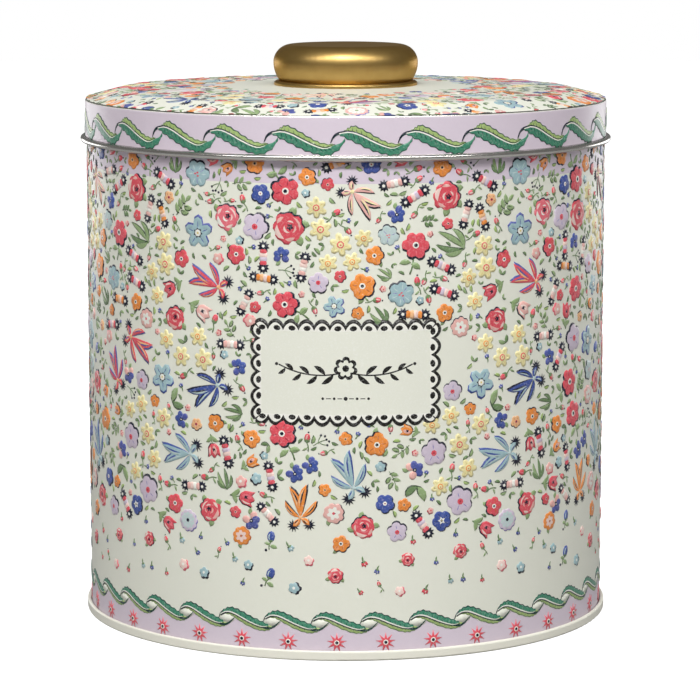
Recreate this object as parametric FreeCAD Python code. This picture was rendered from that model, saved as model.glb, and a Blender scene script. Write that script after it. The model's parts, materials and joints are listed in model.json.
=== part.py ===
"""Round lithographed biscuit tin.

A rolled body with a double-seamed base, a drawn slip lid, and a hollow knob held by a screw from inside.
The frame is +Z up, with the origin on the tin's axis at the plane it stands on. Units are millimetres.
Every pressed piece is one sheet of constant thickness, bent along a mid-line and revolved about the axis.
"""

import FreeCAD
import Part

import math
import os

# ---- Driving dimensions -------------------------------------------------------------------------
SHEET = 0.25  # tinplate of the body, base and lid
BODY_DIAMETER = 159.6  # outside face of the body wall
BODY_HEIGHT = 158.9  # from the standing plane to the top of the rim curl
RIM_CURL_RADIUS = 1.0  # mid-line radius of the inward curl round the mouth
CURL_SWEEP = 300.0  # degrees that each curl is rolled through

SEAM_HEIGHT = 3.0  # outside height of the base seam
SEAM_PLAY = 0.2  # gap left between the folded layers of the base seam
PLUG_CLEARANCE = 0.05  # base plug inside the body wall
BASE_RECESS = 3.4  # top face of the base panel above the standing plane
SEAM_BEND = 0.5  # mid-line bend radius at the foot of the base plug

SIDE_SEAM_WIDTH = 5.0  # lock seam up the back of the body, measured round the wall
SIDE_SEAM_DEPTH = 0.5  # extra thickness of the lock seam, on the inside
SIDE_SEAM_GROOVE = 0.35  # width of the fine joint line on the outside
SIDE_SEAM_GROOVE_DEPTH = 0.1

LID_CLEARANCE = 0.3  # lid skirt outside the body wall
LID_SEAT_GAP = 0.3  # lid shoulder above the rim curl
LID_SKIRT = 12.1  # lid corner down to the centre of its bottom curl
LID_CURL_RADIUS = 0.75  # mid-line radius of the outward curl on the lid
LID_CORNER_BEND = 1.0
SHOULDER_WIDTH = 9.8  # sloping shoulder between the lid's corner and its top panel
SHOULDER_RISE = 2.6
SHOULDER_BEND = 4.0
PANEL_RISE = 1.2  # gentle crown from the shoulder to the flat seat under the knob
PANEL_BEND = 20.0
KNOB_SEAT_MARGIN = 2.0  # flat seat outside the knob's foot

KNOB_DIAMETER = 44.6  # widest part of the knob
KNOB_HEIGHT = 12.4  # foot to crown
KNOB_SHEET = 0.6
KNOB_SHOULDER = 5.2  # mid-line radius from the knob's crown to its side
KNOB_NECK_INSET = 2.0  # how far the side draws in at the neck, on the radius
FOOT_INSET = 0.2  # foot flange inside the widest part of the knob, on the radius
FOOT_HEIGHT = 1.3  # top of the foot flange above the lid
FOOT_SHEET = 0.6
FOOT_STEP = 2.0  # height of the foot's spigot inside the knob shell
FOOT_BEND = 0.5
SPIGOT_CLEARANCE = 0.05

THREAD_RADIUS = 2.0  # M4 screw, drawn without its thread form
THREAD_CLEARANCE = 0.05  # screw inside the bush, on the radius
SCREW_HOLE_CLEARANCE = 0.3
SCREW_ENGAGEMENT = 7.0  # screw length above the lid
HEAD_RADIUS = 4.0
HEAD_HEIGHT = 2.4
HEAD_EDGE = 0.8  # rounding of the pan head
CROSS_WIDTH = 0.9
CROSS_LENGTH = 4.2
CROSS_DEPTH = 1.3
WASHER_CLEARANCE = 0.15
FLAT_WASHER_RADIUS = 5.0
FLAT_WASHER_THICKNESS = 0.8
SPRING_WASHER_RADIUS = 3.7
SPRING_WASHER_THICKNESS = 1.0
SPRING_WASHER_SPLIT = 0.6
BUSH_RADIUS = 3.1
BUSH_COLLAR_RADIUS = 5.5
BUSH_RIVET_RADIUS = 4.2
BUSH_RIVET_HEIGHT = 0.7
BUSH_END_WALL = 1.5
BUSH_HOLE_CLEARANCE = 0.05

# ---- Radii and heights that follow from them ----------------------------------------------------
HALF = SHEET / 2
WALL_MID = BODY_DIAMETER / 2 - HALF
LAYER = SHEET + SEAM_PLAY  # pitch of the folded layers outside the wall
PLUG_MID = WALL_MID - SHEET - PLUG_CLEARANCE
SEAM_OUTER_MID = WALL_MID + 3 * LAYER

CURL_CENTRE_Z = BODY_HEIGHT - RIM_CURL_RADIUS - HALF
SKIRT_MID = BODY_DIAMETER / 2 + LID_CLEARANCE + HALF
SHOULDER_SLOPE = math.atan2(SHOULDER_RISE, SHOULDER_WIDTH)
RIM_CURL_CENTRE_R = WALL_MID - RIM_CURL_RADIUS
SEAT_REACH = (RIM_CURL_RADIUS + HALF + LID_SEAT_GAP + HALF) / math.cos(SHOULDER_SLOPE)
LID_CORNER_Z = CURL_CENTRE_Z + SEAT_REACH - (SKIRT_MID - RIM_CURL_CENTRE_R) * math.tan(SHOULDER_SLOPE)
SHOULDER_TOP_Z = LID_CORNER_Z + SHOULDER_RISE
SEAT_MID_Z = SHOULDER_TOP_Z + PANEL_RISE
SEAT_Z = SEAT_MID_Z + HALF  # face of the lid that the knob stands on
LID_INSIDE_Z = SEAT_MID_Z - HALF
SCREW_HOLE_RADIUS = THREAD_RADIUS + SCREW_HOLE_CLEARANCE

FOOT_TOP_MID_Z = SEAT_Z + FOOT_HEIGHT - FOOT_SHEET / 2
SPIGOT_MID_Z = FOOT_TOP_MID_Z + FOOT_STEP
NECK_RADIUS = KNOB_DIAMETER / 2 - KNOB_NECK_INSET
FOOT_RADIUS = KNOB_DIAMETER / 2 - FOOT_INSET
SPIGOT_MID_R = NECK_RADIUS - KNOB_SHEET - SPIGOT_CLEARANCE - FOOT_SHEET / 2


# ---- Sheet sections -----------------------------------------------------------------------------
# A mid-line is a list of pieces in the (radius, height) half-plane:
# ("line", start, end) or ("arc", centre, radius, start angle, sweep), each tangent to the next.


def unit(a, b):
    """Direction from point a to point b."""
    length = math.dist(a, b)
    return (b[0] - a[0]) / length, (b[1] - a[1]) / length


def mid_line(corners, bends):
    """Mid-line through sharp corners, each inner corner rounded with its own bend radius."""
    pieces = []
    start = corners[0]
    for before, corner, after, radius in zip(corners, corners[1:], corners[2:], bends):
        d_in = unit(before, corner)
        d_out = unit(corner, after)
        cross = d_in[0] * d_out[1] - d_in[1] * d_out[0]
        dot = d_in[0] * d_out[0] + d_in[1] * d_out[1]
        turn = math.atan2(cross, dot)
        side = math.copysign(1.0, turn)
        setback = radius * math.tan(abs(turn) / 2)
        arc_start = (corner[0] - d_in[0] * setback, corner[1] - d_in[1] * setback)
        centre = (arc_start[0] - d_in[1] * radius * side, arc_start[1] + d_in[0] * radius * side)
        angle = math.atan2(arc_start[1] - centre[1], arc_start[0] - centre[0])
        if math.dist(start, arc_start) > 1e-6:
            pieces.append(("line", start, arc_start))
        pieces.append(("arc", centre, radius, angle, turn))
        start = (corner[0] + d_out[0] * setback, corner[1] + d_out[1] * setback)
    if math.dist(start, corners[-1]) > 1e-6:
        pieces.append(("line", start, corners[-1]))
    return pieces


def curl_left(pieces, radius, sweep_degrees):
    """Adds a curl that turns left, tangent to the last straight piece."""
    _, start, end = pieces[-1]
    direction = unit(start, end)
    centre = (end[0] - direction[1] * radius, end[1] + direction[0] * radius)
    angle = math.atan2(end[1] - centre[1], end[0] - centre[0])
    return pieces + [("arc", centre, radius, angle, math.radians(sweep_degrees))]


def point_at(piece, share, offset):
    """Point at a share of a piece's length, offset to the left of its direction."""
    if piece[0] == "line":
        _, a, b = piece
        d = unit(a, b)
        return (a[0] + (b[0] - a[0]) * share - d[1] * offset, a[1] + (b[1] - a[1]) * share + d[0] * offset)
    _, centre, radius, angle, sweep = piece
    reach = radius - math.copysign(offset, sweep * offset) if offset else radius
    at = angle + sweep * share
    return centre[0] + reach * math.cos(at), centre[1] + reach * math.sin(at)


def vector(point):
    """The 3-D point of a (radius, height) pair, in the XZ plane."""
    return FreeCAD.Vector(point[0], 0, point[1])


def side_edges(pieces, offset):
    """Edges of the mid-line moved sideways by the offset."""
    edges = []
    for piece in pieces:
        a, b = vector(point_at(piece, 0, offset)), vector(point_at(piece, 1, offset))
        if piece[0] == "line":
            edges.append(Part.LineSegment(a, b).toShape())
        else:
            middle = vector(point_at(piece, 0.5, offset))
            edges.append(Part.Arc(a, middle, b).toShape())
    return edges


def revolve(edges):
    """Solid of revolution about the tin's axis from closed profile edges."""
    wire = Part.Wire(Part.sortEdges(edges)[0])
    solid = Part.Face(wire).revolve(FreeCAD.Vector(0, 0, 0), FreeCAD.Vector(0, 0, 1), 360)
    if solid.Volume < 0:
        solid.reverse()
    return solid


def sheet_ring(pieces, thickness):
    """Revolved sheet of the given thickness, centred on the mid-line."""
    left = side_edges(pieces, thickness / 2)
    right = side_edges(pieces, -thickness / 2)
    caps = [
        (point_at(pieces[0], 0, thickness / 2), point_at(pieces[0], 0, -thickness / 2)),
        (point_at(pieces[-1], 1, thickness / 2), point_at(pieces[-1], 1, -thickness / 2)),
    ]
    ends = [Part.LineSegment(vector(a), vector(b)).toShape() for a, b in caps]
    return revolve(left + right + ends)


def turned(points):
    """Solid turned from a closed outline of (radius, height) points."""
    closed = list(points) + [points[0]]
    return revolve([Part.LineSegment(vector(a), vector(b)).toShape() for a, b in zip(closed, closed[1:])])


def wall_strip(inner, outer, width, bottom, top):
    """Block across the back of the wall, between two radii, as wide as the given arc length."""
    half_angle = math.degrees(width / 2 / (BODY_DIAMETER / 2))
    outline = [(inner, bottom), (outer, bottom), (outer, top), (inner, top), (inner, bottom)]
    strip = Part.Face(Part.makePolygon([vector(point) for point in outline]))
    strip.rotate(FreeCAD.Vector(0, 0, 0), FreeCAD.Vector(0, 0, 1), 90 - half_angle)
    return strip.revolve(FreeCAD.Vector(0, 0, 0), FreeCAD.Vector(0, 0, 1), 2 * half_angle)


# ---- Pieces of the tin --------------------------------------------------------------------------


def body_wall():
    """Rolled wall: hook folded out into the base seam, inward curl at the mouth, lock seam at the back."""
    hook_foot = SHEET + SEAM_PLAY + HALF
    corners = [
        (WALL_MID + 2 * LAYER, SEAM_HEIGHT - SHEET - 2 * SEAM_PLAY - HALF),
        (WALL_MID + 2 * LAYER, hook_foot),
        (WALL_MID, hook_foot),
        (WALL_MID, CURL_CENTRE_Z),
    ]
    hook_and_wall = mid_line(corners, [LAYER, LAYER])  # the hook's two bends make a half turn
    wall = sheet_ring(curl_left(hook_and_wall, RIM_CURL_RADIUS, CURL_SWEEP), SHEET)
    inner_face = WALL_MID - HALF
    seam_bottom = BASE_RECESS + 2 * SHEET
    seam_top = CURL_CENTRE_Z - 2 * RIM_CURL_RADIUS
    lock = wall_strip(inner_face - SIDE_SEAM_DEPTH, WALL_MID, SIDE_SEAM_WIDTH, seam_bottom, seam_top)
    groove_floor = BODY_DIAMETER / 2 - SIDE_SEAM_GROOVE_DEPTH
    groove = wall_strip(groove_floor, BODY_DIAMETER / 2 + 1, SIDE_SEAM_GROOVE, SEAM_HEIGHT + SHEET, seam_top)
    return wall.fuse(lock).cut(groove).removeSplitter()


def base_end():
    """Pressed base: recessed panel, plug inside the wall, and the cover hook folded over the body's hook."""
    panel_z = BASE_RECESS - HALF
    corners = [
        (0.0, panel_z),
        (PLUG_MID, panel_z),
        (PLUG_MID, HALF),
        (SEAM_OUTER_MID, HALF),
        (SEAM_OUTER_MID, SEAM_HEIGHT - HALF),
        (WALL_MID + LAYER, SEAM_HEIGHT - HALF),
        (WALL_MID + LAYER, SEAM_HEIGHT / 2),
    ]
    bends = [2 * SEAM_BEND, SEAM_BEND, SEAM_BEND, LAYER, LAYER]
    return sheet_ring(mid_line(corners, bends), SHEET)


def lid_shell():
    """Drawn lid: flat seat for the knob, crowned panel, sloping shoulder, skirt and outward curl."""
    seat_radius = FOOT_RADIUS + KNOB_SEAT_MARGIN
    corners = [
        (SCREW_HOLE_RADIUS, SEAT_MID_Z),
        (seat_radius, SEAT_MID_Z),
        (SKIRT_MID - SHOULDER_WIDTH, SHOULDER_TOP_Z),
        (SKIRT_MID, LID_CORNER_Z),
        (SKIRT_MID, LID_CORNER_Z - LID_SKIRT),
    ]
    pieces = mid_line(corners, [PANEL_BEND, SHOULDER_BEND, LID_CORNER_BEND])
    return sheet_ring(curl_left(pieces, LID_CURL_RADIUS, CURL_SWEEP), SHEET)


def knob_shell():
    """Hollow drawn knob: flat crown, rounded shoulder, and a side that draws in to the neck."""
    half = KNOB_SHEET / 2
    crown_z = SEAT_Z + KNOB_HEIGHT - half
    side_mid = KNOB_DIAMETER / 2 - half
    flat = side_mid - KNOB_SHOULDER
    drop = crown_z - KNOB_SHOULDER - (SEAT_Z + FOOT_HEIGHT)
    angle = 2 * math.atan2(KNOB_NECK_INSET, drop)
    radius = drop / math.sin(angle)
    shoulder_centre = (flat, crown_z - KNOB_SHOULDER)
    side_centre = (side_mid - radius, crown_z - KNOB_SHOULDER)
    pieces = [
        ("line", (0.0, crown_z), (flat, crown_z)),
        ("arc", shoulder_centre, KNOB_SHOULDER, math.pi / 2, -math.pi / 2),
        ("arc", side_centre, radius, 0.0, -angle),
    ]
    shell = sheet_ring(pieces, KNOB_SHEET)
    lip_z = SEAT_Z + FOOT_HEIGHT + SPIGOT_CLEARANCE
    below = Part.makeCylinder(KNOB_DIAMETER, KNOB_DIAMETER, FreeCAD.Vector(0, 0, lip_z - KNOB_DIAMETER))
    fit_radius = SPIGOT_MID_R + FOOT_SHEET / 2 + SPIGOT_CLEARANCE
    fit = Part.makeCylinder(fit_radius, SPIGOT_MID_Z + FOOT_SHEET - SEAT_Z, FreeCAD.Vector(0, 0, SEAT_Z))
    return shell.cut(below).cut(fit)


def knob_foot():
    """Pressed foot: a spigot that carries the shell and a flange that stands on the lid."""
    flange_mid = FOOT_RADIUS - FOOT_SHEET / 2
    corners = [
        (BUSH_RADIUS + BUSH_HOLE_CLEARANCE, SPIGOT_MID_Z),
        (SPIGOT_MID_R, SPIGOT_MID_Z),
        (SPIGOT_MID_R, FOOT_TOP_MID_Z),
        (flange_mid, FOOT_TOP_MID_Z),
        (flange_mid, SEAT_Z),
    ]
    return sheet_ring(mid_line(corners, [FOOT_BEND] * 3), FOOT_SHEET)


def knob_bush():
    """Threaded bush: a collar between the lid and the foot, riveted over above the foot."""
    bore = THREAD_RADIUS + THREAD_CLEARANCE
    under_foot = SPIGOT_MID_Z - FOOT_SHEET / 2
    over_foot = SPIGOT_MID_Z + FOOT_SHEET / 2
    bore_end = SEAT_Z + SCREW_ENGAGEMENT + THREAD_CLEARANCE
    top = max(bore_end + BUSH_END_WALL, over_foot + BUSH_RIVET_HEIGHT)
    return turned(
        [
            (bore, SEAT_Z),
            (BUSH_COLLAR_RADIUS, SEAT_Z),
            (BUSH_COLLAR_RADIUS, under_foot),
            (BUSH_RADIUS, under_foot),
            (BUSH_RADIUS, over_foot),
            (BUSH_RIVET_RADIUS, over_foot),
            (BUSH_RIVET_RADIUS, over_foot + BUSH_RIVET_HEIGHT),
            (BUSH_RADIUS, over_foot + BUSH_RIVET_HEIGHT),
            (BUSH_RADIUS, top),
            (0.0, top),
            (0.0, bore_end),
            (bore, bore_end),
        ]
    )


def washer(outer, thickness, top):
    """Plain ring whose top face is at the given height."""
    origin = FreeCAD.Vector(0, 0, top - thickness)
    ring = Part.makeCylinder(outer, thickness, origin)
    return ring.cut(Part.makeCylinder(THREAD_RADIUS + WASHER_CLEARANCE, thickness, origin))


def flat_washer():
    """Flat washer against the inside of the lid."""
    return washer(FLAT_WASHER_RADIUS, FLAT_WASHER_THICKNESS, LID_INSIDE_Z)


def spring_washer():
    """Split spring washer between the flat washer and the screw head."""
    top = LID_INSIDE_Z - FLAT_WASHER_THICKNESS
    ring = washer(SPRING_WASHER_RADIUS, SPRING_WASHER_THICKNESS, top)
    split = Part.makeBox(
        SPRING_WASHER_RADIUS * 2,
        SPRING_WASHER_SPLIT,
        SPRING_WASHER_THICKNESS * 2,
        FreeCAD.Vector(0, -SPRING_WASHER_SPLIT / 2, top - 1.5 * SPRING_WASHER_THICKNESS),
    )
    return ring.cut(split)


def knob_screw():
    """M4 pan-head screw from inside the lid, with a cross recess in its head."""
    head_top = LID_INSIDE_Z - FLAT_WASHER_THICKNESS - SPRING_WASHER_THICKNESS
    head_bottom = head_top - HEAD_HEIGHT
    head = Part.makeCylinder(HEAD_RADIUS, HEAD_HEIGHT, FreeCAD.Vector(0, 0, head_bottom))
    rim = [edge for edge in head.Edges if abs(edge.BoundBox.ZMax - head_bottom) < 1e-6]
    head = head.makeFillet(HEAD_EDGE, rim)
    shank_length = SEAT_Z + SCREW_ENGAGEMENT - head_top
    shank = Part.makeCylinder(THREAD_RADIUS, shank_length, FreeCAD.Vector(0, 0, head_top))
    screw = head.fuse(shank)
    for size_x, size_y in ((CROSS_LENGTH, CROSS_WIDTH), (CROSS_WIDTH, CROSS_LENGTH)):
        corner = FreeCAD.Vector(-size_x / 2, -size_y / 2, head_bottom - 1)
        screw = screw.cut(Part.makeBox(size_x, size_y, CROSS_DEPTH + 1, corner))
    return screw.removeSplitter()


PIECES = [
    body_wall,
    base_end,
    lid_shell,
    knob_shell,
    knob_foot,
    knob_bush,
    flat_washer,
    spring_washer,
    knob_screw,
]

os.makedirs("parts", exist_ok=True)
for piece in PIECES:
    shape = piece()
    box = shape.BoundBox
    state = f"{len(shape.Solids)} solid(s), valid {shape.isValid()}, {shape.Volume:.1f} mm3"
    print(f"{piece.__name__}: {state}, z {box.ZMin:.2f} to {box.ZMax:.2f}")
    shape.exportStep(f"parts/{piece.__name__}.step")
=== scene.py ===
"""Looks of a round lithographed biscuit tin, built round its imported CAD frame.

The sheet-metal pieces keep their CAD meshes and get varnished, lacquered and bare-metal finishes. The floral print is
embossed: every flower, leaf and bow is a low raised mesh whose faces carry their ink, laid out on the unrolled wall
or on the plan of the lid, and bent onto the sheet by Geometry Nodes. Sizes of the print are in millimetres until a
mesh is made; everything in the scene is in metres.
"""

import json
import logging
import math
import random
from collections.abc import Callable, Iterable, Sequence
from dataclasses import dataclass, field, replace
from enum import Enum
from typing import Any

import bpy
import numpy as np
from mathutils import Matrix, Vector
from mathutils.geometry import delaunay_2d_cdt

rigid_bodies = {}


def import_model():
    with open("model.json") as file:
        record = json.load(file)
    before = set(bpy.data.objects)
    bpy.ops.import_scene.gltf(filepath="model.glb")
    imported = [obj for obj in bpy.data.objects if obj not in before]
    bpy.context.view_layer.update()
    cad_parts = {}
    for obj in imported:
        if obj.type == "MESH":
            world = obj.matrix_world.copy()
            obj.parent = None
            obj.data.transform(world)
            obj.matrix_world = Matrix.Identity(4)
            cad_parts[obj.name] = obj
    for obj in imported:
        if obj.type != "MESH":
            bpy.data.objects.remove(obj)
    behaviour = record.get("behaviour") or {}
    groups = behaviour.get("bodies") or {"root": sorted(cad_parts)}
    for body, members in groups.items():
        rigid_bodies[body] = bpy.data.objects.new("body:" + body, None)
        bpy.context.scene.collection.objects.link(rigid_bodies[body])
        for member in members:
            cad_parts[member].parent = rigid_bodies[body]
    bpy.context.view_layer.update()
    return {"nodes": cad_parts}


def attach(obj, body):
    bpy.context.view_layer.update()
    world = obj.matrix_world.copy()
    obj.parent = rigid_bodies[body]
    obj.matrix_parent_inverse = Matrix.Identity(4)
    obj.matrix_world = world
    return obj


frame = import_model()

log = logging.getLogger("biscuit_tin")
MM = 0.001
Point = tuple[float, float]
Outline = list[Point]
Colour = tuple[float, float, float, float]
Socket = bpy.types.NodeSocket
Tree = bpy.types.NodeTree

# ---- Colours ------------------------------------------------------------------------------------


def linear(hex_code: str) -> Colour:
    """Turns an sRGB hex code into a linear colour.

    Args:
        hex_code: Colour such as "#E0E0D2".

    Returns:
        Linear red, green, blue and an alpha of one.
    """
    channels = [int(hex_code[i : i + 2], 16) / 255 for i in (1, 3, 5)]
    bent = [c / 12.92 if c <= 0.04045 else ((c + 0.055) / 1.055) ** 2.4 for c in channels]
    return bent[0], bent[1], bent[2], 1.0


class Ink(Enum):
    """Printing inks of the litho."""

    CREAM = "#E7E8DA"
    WHITE = "#EFEEE4"
    LAVENDER = "#D9CCD8"
    CORAL = "#DB4F5B"
    CRIMSON = "#A82F40"
    ROSE = "#E56E7A"
    PINK = "#E8B2A9"
    BLUSH = "#F0D2C8"
    ORANGE = "#E98C3C"
    APRICOT = "#EEB886"
    RUST = "#C26A38"
    YELLOW = "#EADFA6"
    STRAW = "#DCC778"
    SKY = "#9DBBC0"
    PALE_SKY = "#BFD2D0"
    ROYAL = "#3D5299"
    INDIGO = "#4C579C"
    VIOLET = "#7F76B4"
    LILAC = "#D0C2D2"
    NAVY = "#11162B"
    SAGE = "#8DA573"
    MOSS = "#6C875A"
    TEAL = "#3E8468"
    DEEP_TEAL = "#123A33"
    LEAF = "#9DB56E"
    PINE = "#384A33"
    UMBER = "#120F0B"

    @property
    def colour(self) -> Colour:
        """The ink as a linear colour."""
        return linear(self.value)


# ---- Node trees ---------------------------------------------------------------------------------

WHITE_LIGHT: Colour = (1.0, 1.0, 1.0, 1.0)
SUM = "ShaderNodeMath"
MIX = "ShaderNodeMix"
RANGE = "ShaderNodeMapRange"


def add(tree: Tree, kind: str, inputs: Any = (), out: int | str | None = 0, **settings: Any) -> Any:
    """Adds a node to a tree.

    Args:
        tree: Tree that gets the node.
        kind: Type name of the node.
        inputs: Value or source socket for each input: in turn, or by name or number.
        out: Name or number of the output that is wanted, or None for the node itself.
        settings: Properties of the node.

    Returns:
        The wanted output, or the node.
    """
    made = tree.nodes.new(kind)
    for name, value in settings.items():
        setattr(made, name, value)
    for key, value in inputs.items() if isinstance(inputs, dict) else enumerate(inputs):
        if isinstance(value, Socket):
            tree.links.new(value, made.inputs[key])
        else:
            made.inputs[key].default_value = value
    return made if out is None else made.outputs[out]


class Coordinates:
    """Object coordinates of a piece, and what follows from them about the tin's axis."""

    def __init__(self, tree: Tree) -> None:
        """Adds the nodes that read the coordinates.

        Args:
            tree: Material tree that reads them.
        """
        self.tree = tree
        self.position = add(tree, "ShaderNodeTexCoord", (), "Object")
        self.x, self.y, self.z = add(tree, "ShaderNodeSeparateXYZ", (self.position,), None).outputs
        squares = [add(tree, SUM, (axis, axis), operation="MULTIPLY") for axis in (self.x, self.y)]
        self.radius = add(tree, SUM, (add(tree, SUM, squares, operation="ADD"),), operation="SQRT")

    @property
    def angle(self) -> Socket:
        """Angle round the axis, in radians, from the front."""
        back = add(self.tree, SUM, (self.y, -1.0), operation="MULTIPLY")
        return add(self.tree, SUM, (self.x, back), operation="ARCTAN2")

    def grain(self, size: float, detail: float = 2.0, stretch: Sequence[float] = (1.0, 1.0, 1.0)) -> Socket:
        """An uneven pattern whose grains are about the given size.

        Args:
            size: Size of a grain, in metres.
            detail: Number of finer octaves.
            stretch: How much closer the grains lie along each axis.

        Returns:
            The pattern, from nought to one.
        """
        mapped = add(self.tree, "ShaderNodeMapping", {0: self.position, 3: stretch})
        return add(self.tree, "ShaderNodeTexNoise", {0: mapped, "Scale": 1 / size, "Detail": detail})


# ---- Finishes -----------------------------------------------------------------------------------


class Finish:
    """A finish of the tin: a material named for it, whose tree ends in the shader that the finish builds."""

    name: str

    def shader(self, tree: Tree, at: Coordinates) -> Socket:
        """Builds the shader of the finish in a tree, from the coordinates of the piece."""
        raise NotImplementedError

    def material(self) -> bpy.types.Material:
        """Makes the material.

        Returns:
            The material, with nothing in its tree but what the finish needs.
        """
        made = bpy.data.materials.new(self.name)
        made.use_nodes = True
        made.node_tree.nodes.clear()
        surface = self.shader(made.node_tree, Coordinates(made.node_tree))
        add(made.node_tree, "ShaderNodeOutputMaterial", (surface,), None)
        return made


@dataclass(frozen=True)
class Varnish:
    """Clear varnish: a soft sheen with faint handling marks and the orange peel of roller coating."""

    mottle: float = 0.9 * MM
    cloud: float = 14 * MM
    marks: float = 7 * MM
    peel: float = 1.6 * MM
    peel_depth: float = 0.010 * MM
    roughness: Point = (0.32, 0.46)

    def over(self, tree: Tree, at: Coordinates, colour: Any) -> Socket:
        """Adds the varnish over an ink, which is a touch uneven from the plate.

        Args:
            tree: Material tree.
            at: Coordinates of the piece.
            colour: Colour of the ink, or its socket.

        Returns:
            The shader.
        """
        veils = ((0.10, self.mottle, 3.0, (0.25, 0.25, 0.25, 1.0)), (0.06, self.cloud, 2.0, (0.3, 0.28, 0.24, 1.0)))
        for share, size, detail, grey in veils:
            veil = add(tree, MIX, {0: at.grain(size, detail), 6: grey, 7: WHITE_LIGHT}, 2, data_type="RGBA")
            layers = {0: share, 6: colour, 7: veil}
            colour = add(tree, MIX, layers, 2, data_type="RGBA", blend_type="SOFT_LIGHT")
        low, high = self.roughness
        values = {
            "Base Color": colour,
            "Roughness": add(tree, RANGE, {0: at.grain(self.marks, 4.0), 3: low, 4: high}),
            "Normal": add(tree, "ShaderNodeBump", {"Height": at.grain(self.peel), "Distance": self.peel_depth}),
            "IOR": 1.48,
            "Specular IOR Level": 0.34,
            "Coat Weight": 0.14,
            "Coat Roughness": 0.22,
            "Coat IOR": 1.5,
        }
        return add(tree, "ShaderNodeBsdfPrincipled", values)


@dataclass(frozen=True)
class BareTinplate:
    """Bright tinplate: a cool grey, with a soft roller streak that scatters its reflections."""

    light: str = "#DEDCD6"
    dark: str = "#C9C6C0"
    cloud: float = 9 * MM
    streak: float = 1.2 * MM
    streak_stretch: tuple[float, float, float] = (1.0, 1.0, 0.06)
    streak_depth: float = 0.004 * MM
    roughness: Point = (0.14, 0.30)

    def beside(self, tree: Tree, at: Coordinates, printed: Socket, share: Socket) -> Socket:
        """Shows bare tinplate wherever the print ends.

        Args:
            tree: Material tree.
            at: Coordinates of the piece.
            printed: Shader of the printed side.
            share: One where the sheet is printed and nought where it is bare.

        Returns:
            The shader of both.
        """
        streak = at.grain(self.streak, 3.0, self.streak_stretch)
        tones = {0: at.grain(self.cloud), 6: linear(self.dark), 7: linear(self.light)}
        low, high = self.roughness
        values = {
            "Base Color": add(tree, MIX, tones, 2, data_type="RGBA"),
            "Metallic": 1.0,
            "Roughness": add(tree, RANGE, {0: streak, 3: low, 4: high}),
            "Normal": add(tree, "ShaderNodeBump", {"Height": streak, "Distance": self.streak_depth}),
        }
        bare = add(tree, "ShaderNodeBsdfPrincipled", values)
        return add(tree, "ShaderNodeMixShader", (share, bare, printed))


@dataclass(frozen=True)
class VarnishedInk(Finish):
    """Raised print: each face holds its own ink, under clear varnish, so small flowers keep crisp edges."""

    name: str = "varnished_litho_ink"
    ink: str = "ink"
    shade: str = "shade"
    brush: float = 0.55 * MM
    brushed: float = 0.22
    shades: Point = (0.93, 1.07)

    def shader(self, tree: Tree, at: Coordinates) -> Socket:
        """Builds the shader: each ink a little brushed, and each motif a little lighter or darker than the next.

        Args:
            tree: Material tree.
            at: Coordinates of the piece.

        Returns:
            The shader.
        """
        ink = add(tree, "ShaderNodeAttribute", (), "Color", attribute_name=self.ink)
        shade = add(tree, "ShaderNodeAttribute", (), "Fac", attribute_name=self.shade)
        strokes = add(tree, RANGE, (at.grain(self.brush, 3.0), 0.52, 0.78))
        stroked = add(tree, MIX, {0: strokes, 6: ink, 7: WHITE_LIGHT}, 2, data_type="RGBA")
        soft = add(tree, MIX, {0: self.brushed, 6: ink, 7: stroked}, 2, data_type="RGBA")
        value = add(tree, RANGE, {0: shade, 3: self.shades[0], 4: self.shades[1]})
        toned = add(tree, "ShaderNodeHueSaturation", {"Value": value, "Color": soft})
        return Varnish().over(tree, at, toned)


@dataclass(frozen=True)
class PrintedWall(Finish):
    """Body sheet: cream and lavender ground under varnish outside, bare tinplate inside."""

    name: str = "printed_tinplate_wall"
    inner_radius: float = 79.7 * MM
    skin: float = 0.01 * MM
    top_band: float = 139.5 * MM
    low_band: float = 10.6 * MM
    band_edge: float = 0.05 * MM
    wave: float = 1.7 * MM
    waves: int = 35
    wave_turn: float = 1.606 + 0.25 * math.tau
    rim: float = 156.6 * MM

    def shader(self, tree: Tree, at: Coordinates) -> Socket:
        """Builds the shader: a lavender band above, another with a wavy edge below, and cream between them.

        Args:
            tree: Material tree.
            at: Coordinates of the piece.

        Returns:
            The shader.
        """
        soft, skin = self.band_edge, self.skin
        turns = add(tree, SUM, (at.angle, float(self.waves)), operation="MULTIPLY")
        swing = add(tree, SUM, (add(tree, SUM, (turns, self.wave_turn), operation="ADD"),), operation="COSINE")
        edge = add(tree, SUM, (swing, self.wave), operation="MULTIPLY")
        above = add(tree, SUM, (at.z, edge), operation="SUBTRACT")
        ground: Any = Ink.LAVENDER
        for height, start, ink in ((above, self.low_band, Ink.CREAM), (at.z, self.top_band, Ink.LAVENDER)):
            share = add(tree, RANGE, (height, start - soft, start + soft))
            below = ground.colour if isinstance(ground, Ink) else ground
            ground = add(tree, MIX, {0: share, 6: below, 7: ink.colour}, 2, data_type="RGBA")
        outside = add(tree, RANGE, (at.radius, self.inner_radius - skin, self.inner_radius + skin))
        over_rim = add(tree, RANGE, (at.z, self.rim, self.rim + soft))
        under_rim = add(tree, SUM, (1.0, over_rim), operation="SUBTRACT")
        printed = add(tree, SUM, (outside, under_rim), operation="MULTIPLY")
        return BareTinplate().beside(tree, at, Varnish().over(tree, at, ground), printed)


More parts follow.
